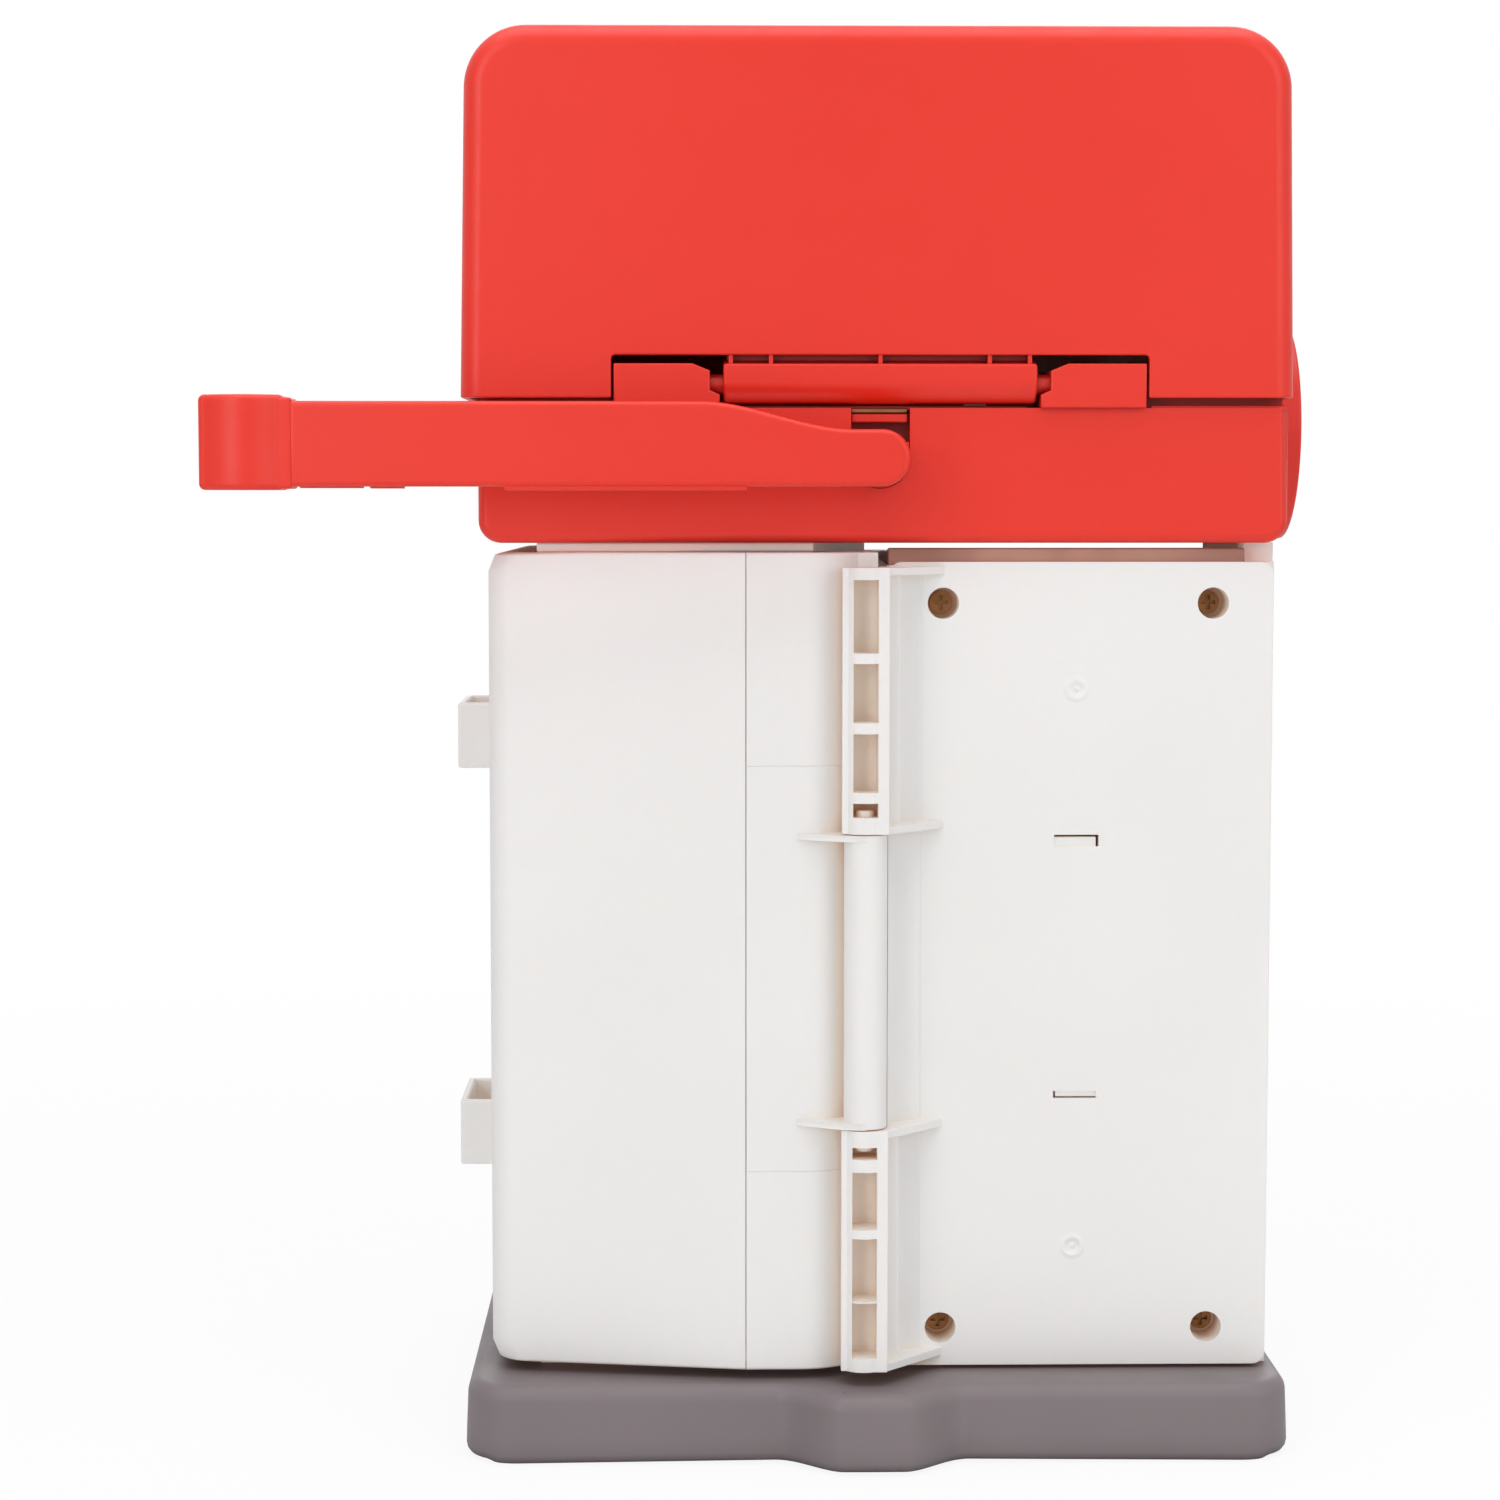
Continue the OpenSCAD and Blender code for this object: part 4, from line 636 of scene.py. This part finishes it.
# the top edge falls by a smoothstep 3t^2 - 2t^3 to the tip, a half circle; the outline is carried along Y,
# and a turned boss joins it to the shaft
def leverArm(s):
    top = s["tipZ"] + s["tipR"]
    x = np.linspace(s["curveFrom"], s["curveTo"], 28)
    t = (x - s["curveFrom"]) / (s["curveTo"] - s["curveFrom"])
    fall = np.stack([x, s["high"] + (top - s["high"]) * t * t * (3 - 2 * t)], -1)[::-1]
    tip = arc(s["tipX"], s["tipZ"], s["tipR"], -90, 90, 28)
    low = [[x, s["low"]] for x in (s["left"], *s["lowPoints"])]
    outline = np.vstack([low, tip, fall, [[s["highPoint"], s["high"]], [s["left"], s["high"]]]])
    parts = [plate("armBody", outline, -s["farY"], -s["nearY"], s["edge"], "XZ", 7)]
    z = s["low"]
    for x0, x1, drop, inset in s["lips"]:
        lip = [[x0 + 0.5, z - drop], [x1, z - drop], [x1 + 0.3, z + s["lipUp"]], [x0 - 0.8, z + s["lipUp"]]]
        parts.append(plate("armLip", lip, -s["farY"] + inset, -s["nearY"] - inset, 0.3, "XZ", 3))
    boss = rodProfile(s["boss"], s["farY"] - 1, s["bossTo"], 0.5)
    parts.append(lathe("armBoss", boss, (0, 0, s["bossZ"]), "Y"))
    settle(joined("lever_arm_moulding", parts), "lever_arm")


# lever grip: outline in X and Y, carried along Z
gripSet = {"left": -175.7, "right": -153.8, "low": 259.0, "high": 283.3, "nearY": -108.0, "farY": -87.2,
           "bow": 3.0, "edge": 1.6, "corner": 1.8, "sweep": 70,
           "collarTo": -151.8, "collarIn": 3, "collarY": (-104.9, -91.4), "collarLow": 0.3, "collarHigh": 0.7}


# both long sides bow out by a parabola bow (1 - u^2); the corners are arcs of sweep degrees, which meet the
# bow without a kink; a collar joins it to the arm
def leverGrip(s):
    c, sweep = s["corner"], s["sweep"]
    middle, half = (s["left"] + s["right"]) / 2, (s["right"] - s["left"]) / 2 - c
    x = np.linspace(middle - half, middle + half, 24)
    bow = s["bow"] * (1 - ((x - middle) / half) ** 2)
    y0, y1 = s["nearY"] + s["bow"], s["farY"] - s["bow"]
    outline = np.vstack([
        arc(s["left"] + c, y0 + c, c, 180, 180 + sweep, 7), np.stack([x, y0 - bow], -1),
        arc(s["right"] - c, y0 + c, c, 360 - sweep, 360, 7), arc(s["right"] - c, y1 - c, c, 0, sweep, 7),
        np.stack([x, y1 + bow], -1)[::-1], arc(s["left"] + c, y1 - c, c, 180 - sweep, 180, 7)])
    collarX = (s["right"] - s["collarIn"], s["collarTo"])
    collarZ = (s["low"] + s["collarLow"], s["high"] - s["collarHigh"])
    parts = [plate("gripBody", outline, s["low"], s["high"], s["edge"], "XY", 8),
             block("collar", collarX, s["collarY"], collarZ, 0.9)]
    settle(joined("lever_grip_moulding", parts), "lever_grip")


leverArm(armSet)
leverGrip(gripSet)

# side knob: a shallow dome with a rounded rim
knobSet = {"x": 110.4, "z": 276.5, "r": 31, "thick": 10.5, "rim": 0.8, "innerRim": 1, "domeFrom": 10.1}


# profile: disc side, rolled rim, then a shallow dome x = thick - (thick - domeFrom) (r / R)^3
def sideKnob(s):
    rim, inner = s["rim"], s["innerRim"]
    r = np.linspace(s["r"] - rim, 0, 26)
    dome = np.stack([r, s["thick"] - (s["thick"] - s["domeFrom"]) * (r / s["r"]) ** 3], -1)
    low = arc(s["r"] - inner, inner, inner, -90, 0, 5)
    high = arc(s["r"] - rim, s["domeFrom"] - rim, rim, 0, 80, 7)
    profile = np.vstack([[[0, 0]], low, high, dome[1:]])
    piece = lathe("side_knob_moulding", profile, (s["x"], 0, s["z"]), "X", 96)
    cleaned(piece)
    settle(piece, "side_knob", 50)


sideKnob(knobSet)
print("stage: lever and knob")

# door: a plan line and a closed C-shaped section; angles in degrees, the rest in mm
doorSet = {
    "left": -104.4, "rear": -72.5, "front": 75, "corner": 7, "leastCorner": 0.8, "rearSweep": 82,
    "freeX": -0.3, "freeGap": 1.2, "frontPast": 2, "slopePast": 4,
    "creaseX": -35.6, "creaseY": -82, "bendX": -21, "bendR": 20, "bendFrom": -88, "bendTo": -40, "bendEnd": 52,
    "low": 23.5, "high": 242.6, "leafLow": 77.5, "leafHigh": 186.2,
    "wall": 2.5, "lap": 8, "lapThick": 2, "edge": 0.8, "sharpEdge": 0.1, "plainFrom": 5,
    "round": 4.2, "seam": 0.10, "leafSeam": 0.03,
}


# panel's plan line at depth t: straight front from the free edge, quarter circle, straight left side, arc of
# rearSweep degrees, then straight to the crease; both arcs have radius corner - t
def panelLine(s, t):
    left, front, rear, corner = s["left"], s["front"], s["rear"], s["corner"]
    r = max(corner - t, s["leastCorner"])
    frontX = np.linspace(s["freeX"] - s["freeGap"], left + corner + s["frontPast"], 14)
    frontLine = np.stack([frontX, np.full(14, front - t)], -1)
    frontArc = arc(left + t + r, front - t - r, r, 90, 180, 12)
    side = np.stack([np.full(14, left + t), np.linspace(front - corner, rear + corner, 14)], -1)
    rearArc = arc(left + t + r, rear + t + r, r, 180, 180 + s["rearSweep"], 12)
    x = np.linspace(left + corner + s["slopePast"], s["creaseX"] - s["seam"], 12)[:, None]
    lastX, lastY = rearArc[-1]
    slope = np.hstack([x, lastY + (s["creaseY"] + t - lastY) * ((x - lastX) / (s["creaseX"] - lastX))])
    return np.vstack([frontLine, frontArc, side[1:-1], rearArc, slope])


# strip's plan line at depth t: from the crease straight, then round a bend of bendR - t to the free edge
def stripLine(s, t):
    y = s["creaseY"] + s["bendR"]
    x = np.linspace(s["creaseX"] + s["seam"], s["bendX"], 8)
    straight = np.stack([x, np.full(8, s["creaseY"] + t)], -1)
    bend = arc(s["bendX"], y, s["bendR"] - t, s["bendFrom"], s["bendTo"], 14)
    end = [[s["freeX"], y - (s["bendR"] - t) * math.cos(math.radians(s["bendEnd"]))]]
    return np.vstack([straight, bend, end])


# section as (depth, height): outer face with quarter circles at its rims, and laps that turn inwards; an
# end without a lap stays nearly sharp, since it meets the leaf
def lapSection(s, low, high, lapLow, lapHigh):
    w, thick, plainFrom = s["wall"], s["lapThick"], s["plainFrom"]
    a, b = (s["edge"] if lap > w else s["sharpEdge"] for lap in (lapLow, lapHigh))
    outer = np.vstack([arc(a, low + a, a, 270, 180, 6),
                       np.stack([np.zeros(12), np.linspace(low + plainFrom, high - plainFrom, 12)], -1),
                       arc(b, high - b, b, 180, 90, 6)])
    top = [[lapHigh, high], [lapHigh, high - thick], [w, high - thick]] if lapHigh > w else [[w, high]]
    bottom = [[w, low + thick], [lapLow, low + thick], [lapLow, low]] if lapLow > w else [[w, low]]
    return np.vstack([outer, top, bottom])


# the section carried along a plan line; the left side is squeezed in near the top and bottom by
# round - sqrt(round^2 - (round - d)^2), with d the distance from the door's own top or bottom
def doorPart(name, s, line, section):
    t, z = section[:, 0], section[:, 1]
    lines = np.stack([line(s, depth) for depth in t], 1)
    near = np.minimum(np.minimum(z - s["low"], s["high"] - z), s["round"])
    squeeze = s["round"] - np.sqrt(np.maximum(s["round"] ** 2 - (s["round"] - near) ** 2, 0))
    reach = np.clip((s["creaseX"] - lines[..., 0]) / (s["creaseX"] - s["left"]), 0, 1)
    x = lines[..., 0] + squeeze[None, :] * reach
    return capped(name, np.stack([x, lines[..., 1], np.broadcast_to(z, x.shape)], -1))


# three lengths of the section: the panel, and the strip above and below the leaf
def doorShell(s):
    g, lap = s["leafSeam"], s["lap"]
    parts = [
        doorPart("panel", s, panelLine, lapSection(s, s["low"], s["high"], lap, lap)),
        doorPart("stripTop", s, stripLine, lapSection(s, s["leafHigh"] + g, s["high"], s["wall"], lap)),
        doorPart("stripLow", s, stripLine, lapSection(s, s["low"], s["leafLow"] - g, lap, s["wall"])),
    ]
    settle(joined("door_panel", parts), "door_shell", 30, rim=0.22, rimAngle=60)


# leaf: the strip's middle length, with the middle knuckle, its web, pivot pins and two gussets
leafSet = {
    "x": -4.2, "y": -84, "sleeve": 5.75, "shift": 0.3, "low": 90, "high": 168.4, "pin": 2.5, "pinOut": 6.4,
    "webHalf": 3, "webTo": -75, "webShort": 0.1, "gusset": 1.7,
    # gusset's corners in X and Y: round the knuckle, along the strip's inside and back
    "fin": ((-10.3, -88.5), (-22.8, -81.4), (-22.4, -80.6), (-14.2, -76), (-4.2, -78), (-4.2, -89.7)),
}


# the strip's section, a turned sleeve on turned pins, r (cos a, sin a) about Z, and outlines carried along Z
def hingeLeaf(s, d):
    x, y, low, high, out = s["x"], s["y"], s["low"], s["high"], s["pinOut"]
    webX, webZ = (x - s["webHalf"], x + s["webHalf"]), (low + s["webShort"], high - s["webShort"])
    parts = [
        doorPart("leaf", d, stripLine, lapSection(d, d["leafLow"], d["leafHigh"], d["wall"], d["wall"])),
        lathe("knuckle", rodProfile(s["sleeve"], low, high, 0.5), (x + s["shift"], y, 0), "Z"),
        lathe("pins", rodProfile(s["pin"], low - out, high + out, 0.5), (x, y, 0), "Z", 32),
        block("web", webX, (y, s["webTo"]), webZ, 0.4),
        plate("gussetTop", s["fin"], high - s["gusset"], high, 0.3, "XY", 3),
        plate("gussetLow", s["fin"], low, low + s["gusset"], 0.3, "XY", 3),
    ]
    settle(joined("hinge_leaf_moulding", parts), "hinge_leaf", 30, rim=0.12, rimAngle=70)


doorShell(doorSet)
hingeLeaf(leafSet, doorSet)
print("stage: door")

# base: outline in X and Y, carried along Z
baseSet = {"halfX": 111, "halfY": 90, "corner": 14, "bumpX": -2, "bumpHalf": 26, "bumpFlat": 8, "bumpOut": 11.6,
           "bumpDish": 0.9, "bottom": 0.8, "top": 21, "shoulder": 4.2, "shoulderOver": 0.85, "lean": 0.5,
           "wall": 4.6, "inside": 18.4, "padFrom": 84, "padTo": 105, "padSlope": 3, "padDrop": 0.7}


# rounded rectangle; the rear side swells by bumpOut (3t^2 - 2t^3), t running from 0 at bumpHalf to 1 at
# bumpFlat, less a shallow parabola bumpDish (u / bumpHalf)^2
def baseOutline(s):
    hx, hy, r = s["halfX"], s["halfY"], s["corner"]
    u = np.linspace(-s["bumpHalf"], s["bumpHalf"], 75)
    t = np.clip((s["bumpHalf"] - np.abs(u)) / (s["bumpHalf"] - s["bumpFlat"]), 0, 1)
    swell = (s["bumpOut"] - s["bumpDish"] * (u / s["bumpHalf"]) ** 2) * t * t * (3 - 2 * t)
    rear = np.stack([s["bumpX"] + u, -hy - swell], -1)
    return np.vstack([arc(r - hx, r - hy, r, 180, 270, 18), rear, arc(hx - r, r - hy, r, 270, 360, 18),
                      arc(hx - r, hy - r, r, 0, 90, 18), arc(r - hx, hy - r, r, 90, 180, 18)])


# rings, each an inset and a level, from the hollow's roof down the inner wall, under the rim, up the outer
# wall and round the shoulder, a quarter ellipse; the lower rings dip by a smoothstep along four pads
def baseShell(s):
    a = np.linspace(0, math.pi / 2, 10)
    over = s["lean"] + s["shoulder"] * s["shoulderOver"] * (1 - np.cos(a))
    rise = s["top"] - s["shoulder"] + s["shoulder"] * np.sin(a)
    low = s["bottom"]
    insets = np.r_[s["wall"], s["wall"], s["wall"] - 0.5, 2.2, 0.9, 0.25, 0, 0.1, over, over[-1] + 3]
    levels = np.r_[s["inside"], low + 0.5, low, low, low + 0.3, low + 1.2, low + 2.4, low + 6, rise, s["top"]]
    rings = laid(drawnIn(baseOutline(s), insets), levels, "XY")
    side = np.abs(rings[1:7, :, 0])
    u = np.clip(np.minimum(side - s["padFrom"], s["padTo"] - side) / s["padSlope"], 0, 1)
    rings[1:7, :, 2] -= s["padDrop"] * u * u * (3 - 2 * u)
    piece = capped("base_moulding", rings)
    cleaned(piece)
    settle(piece, "base_shell", 50)


baseShell(baseSet)
print("stage: base")

# small mouldings on the rear cover: dimples left by ejector pins, and the snap tongues in their slots
dimpleSet = {
    "x": 53.1, "y": -72, "heights": (206, 54.7), "reach": 3.9, "proud": 0.02, "deep": 0.9, "rimOut": -0.5,
    "ring": 0.3, "ringR": 2.542, "ringWidth": 0.7, "dish": 0.5, "dishR": 1.6, "boss": 0.75, "bossR": 0.6,
}


# profile turned about Y: a ring, ring exp(-((r - ringR) / ringWidth)^2), less a dish, dish exp(-(r / dishR)^4),
# with a boss in it, boss exp(-(r / bossR)^2)
def coverDimples(s):
    r = np.linspace(s["reach"], 0, 22)
    ring = s["ring"] * np.exp(-((r - s["ringR"]) / s["ringWidth"]) ** 2)
    dish = s["dish"] * np.exp(-(r / s["dishR"]) ** 4)
    out = s["proud"] + ring - dish + s["boss"] * np.exp(-(r / s["bossR"]) ** 2)
    out[0] = s["rimOut"]
    profile = np.vstack([[[0, s["deep"]]], [[r[0], s["deep"]]], np.stack([r, -out], -1)])
    parts = [lathe("dimple", profile, (s["x"], s["y"], z), "Y", 40) for z in s["heights"]]
    settle(joined("cover_dimples", parts), "rear_cover", 60)


# ranges in X and Z of the upper and the lower tongue
tongueSet = {"places": (((47.2, 58.7), (163.4, 166.2)), ((48.2, 59.4), (95.6, 97.4))), "y": (-71.4, -69.6)}


# two flat boxes behind the cover's slots
def snapTongues(s):
    parts = [block("tongue", x, s["y"], z, 0.3) for x, z in s["places"]]
    settle(joined("snap_tongues", parts), "housing", look="rear_cover")


fairingSet = {"x": 2.1, "toX": 12.5, "y": -82.36, "backY": -70.4, "z": (25.5, 239.2), "sweep": 86, "past": 0.6}


# fairing between the knuckles and the cover: a concave arc of sweep degrees in plan, carried along Z
def coverFairing(s):
    curve = arc(s["toX"], s["y"], s["toX"] - s["x"], 180, 180 - s["sweep"], 16)
    outline = np.vstack([[[s["x"], s["backY"]]], curve, [[s["toX"] + s["past"], s["backY"]]]])
    piece = plate("cover_fairing", outline, *s["z"], 0.2, "XY", 3)
    cleaned(piece)
    settle(piece, "rear_cover", 40)


coverDimples(dimpleSet)
snapTongues(tongueSet)
coverFairing(fairingSet)

# rims in the gap under the head: ranges in X, Y and Z, rounding, the node that carries it and its look
gapSet = {
    # the band on the cover and the rim on the post wear the brown "shade" look: painted shade in the gap under
    # the head; the tower's rim wears the housing's painted pink reflection
    "tower_rim": ((-91.2, -17.4), (-71, -66), (242.9, 245.0), 0.3, "housing", None),
    "cover_shade_band": ((2.6, 98.4), (-69, -65), (239.0, 243.7), 0.6, "rear_cover", "shade"),
    "post_shade_rim": ((88.4, 97.2), (-64.6, -60), (239.5, 245.05), 0.3, "housing", "shade"),
}


# flat boxes
def gapRims(s):
    for name, (x, y, z, edge, nodeName, look) in s.items():
        piece = block(name, x, y, z, edge)
        cleaned(piece)
        settle(piece, nodeName, look=look)


gapRims(gapSet)

# lip round the tray's rim that closes the seam under the lid; the rear side stays open for the hinge
lipSet = {
    "x": (-105.7, 108.1), "front": 74.2, "rearEnd": -66, "corner": 4, "thick": 1.3, "z": (280.2, 285.4),
    "gapHalf": 71.5, "rearY": (-69.2, -68), "beadIn": 0.4, "beadY": (-74.4, -73), "beadZ": (280.2, 281.5),
    # ranges in X, Y and Z: the bar and the plate across the lever's slot, and the sill under the hinge
    "slotBar": ((-7.5, 7.5), (-73.6, -71.6), (277.0, 279.3)),
    "slotPlate": ((-7.5, 7.5), (-72.4, -70.6), (279.5, 280.7)),
    "sill": ((-40, 40), (-70.2, -69), (280.2, 281.6)),
}


# a U in plan, its front corners quarter circles of radius corner and corner - thick, carried along Z, with
# boxes along the rear
def trayLip(s):
    x0, x1, t, c, rearEnd = *s["x"], s["thick"], s["corner"], s["rearEnd"]
    y = s["front"] - c
    outer = np.vstack([[[x1, rearEnd]], arc(x1 - c, y, c, 0, 90, 6), arc(x0 + c, y, c, 90, 180, 6),
                       [[x0, rearEnd]]])
    inner = np.vstack([[[x0 + t, rearEnd]], arc(x0 + c, y, c - t, 180, 90, 6), arc(x1 - c, y, c - t, 90, 0, 6),
                       [[x1 - t, rearEnd]]])
    parts = [plate("lip", np.vstack([outer, inner]), *s["z"], 0.3, "XY", 3)]
    for a, b in ((x0, -s["gapHalf"]), (s["gapHalf"], x1)):
        parts.append(block("rearLip", (a, b), s["rearY"], s["z"], 0.3))
        parts.append(block("bead", (a + s["beadIn"], b), s["beadY"], s["beadZ"], 0.35))
    parts.append(block("slotBar", *s["slotBar"], 0.4))
    parts.append(block("sill", *s["sill"], 0.3))
    settle(joined("tray_lip", parts), "head_tray")


# a flat box across the lever's slot in the screws' brown: painted shade standing for the dark inside seen
# through the slot
def slotPlate(s):
    piece = block("slot_plate", *s["slotPlate"], 0.3)
    cleaned(piece)
    settle(piece, "gear_bracket", look="cover_screws")


trayLip(lipSet)
slotPlate(lipSet)
print("stage: small mouldings")

# floor: white to the camera, with a tenth of its own shading left near the object for the shadow; metres
floorSet = {"half": 3.0, "paint": (0.86, 0.86, 0.86, 1), "nearShare": 0.90, "nearTo": 0.35, "farFrom": 0.9}


# one square of half-side half, in metres; its own white grows from nearShare to 1 with the distance from
# the middle, and only for what the camera sees directly
def makeFloor(s):
    h = s["half"]
    mesh = bpy.data.meshes.new("floor")
    mesh.from_pydata([(-h, -h, 0), (h, -h, 0), (h, h, 0), (-h, h, 0)], [], [(0, 1, 2, 3)])
    floor = bpy.data.objects.new("floor", mesh)
    bpy.context.scene.collection.objects.link(floor)
    material = bpy.data.materials.new("paleFloor")
    g = Graph(material, "ShaderNodeOutputMaterial")
    path = g.add("ShaderNodeLightPath")
    paint = g.add("ShaderNodeBsdfDiffuse", Color=s["paint"])
    white = g.add("ShaderNodeEmission", Strength=1.0)
    away = g.add("ShaderNodeVectorMath", operation="LENGTH")
    g.join(g.place(), away.inputs[0])
    share = g.add("ShaderNodeMath", operation="MULTIPLY")
    g.join(g.span(away.outputs["Value"], s["nearShare"], 1.0, s["nearTo"], s["farFrom"]), share.inputs[0])
    g.join(path.outputs["Is Camera Ray"], share.inputs[1])
    mixer = g.add("ShaderNodeMixShader")
    g.join(share.outputs[0], mixer.inputs["Fac"])
    g.join(paint.outputs[0], mixer.inputs[1])
    g.join(white.outputs[0], mixer.inputs[2])
    g.join(mixer.outputs[0], g.out.inputs["Surface"])
    mesh.materials.append(material)
    floor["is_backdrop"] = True


makeFloor(floorSet)
print("stage: floor")


# vectors and tuples as plain lists of numbers
def plain(value):
    if isinstance(value, (int, float)):
        return float(value)
    if isinstance(value, dict):
        return {k: plain(v) for k, v in value.items()}
    return [plain(v) for v in value]


{"cad": plain(cadBounds), "visual": plain(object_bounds())}
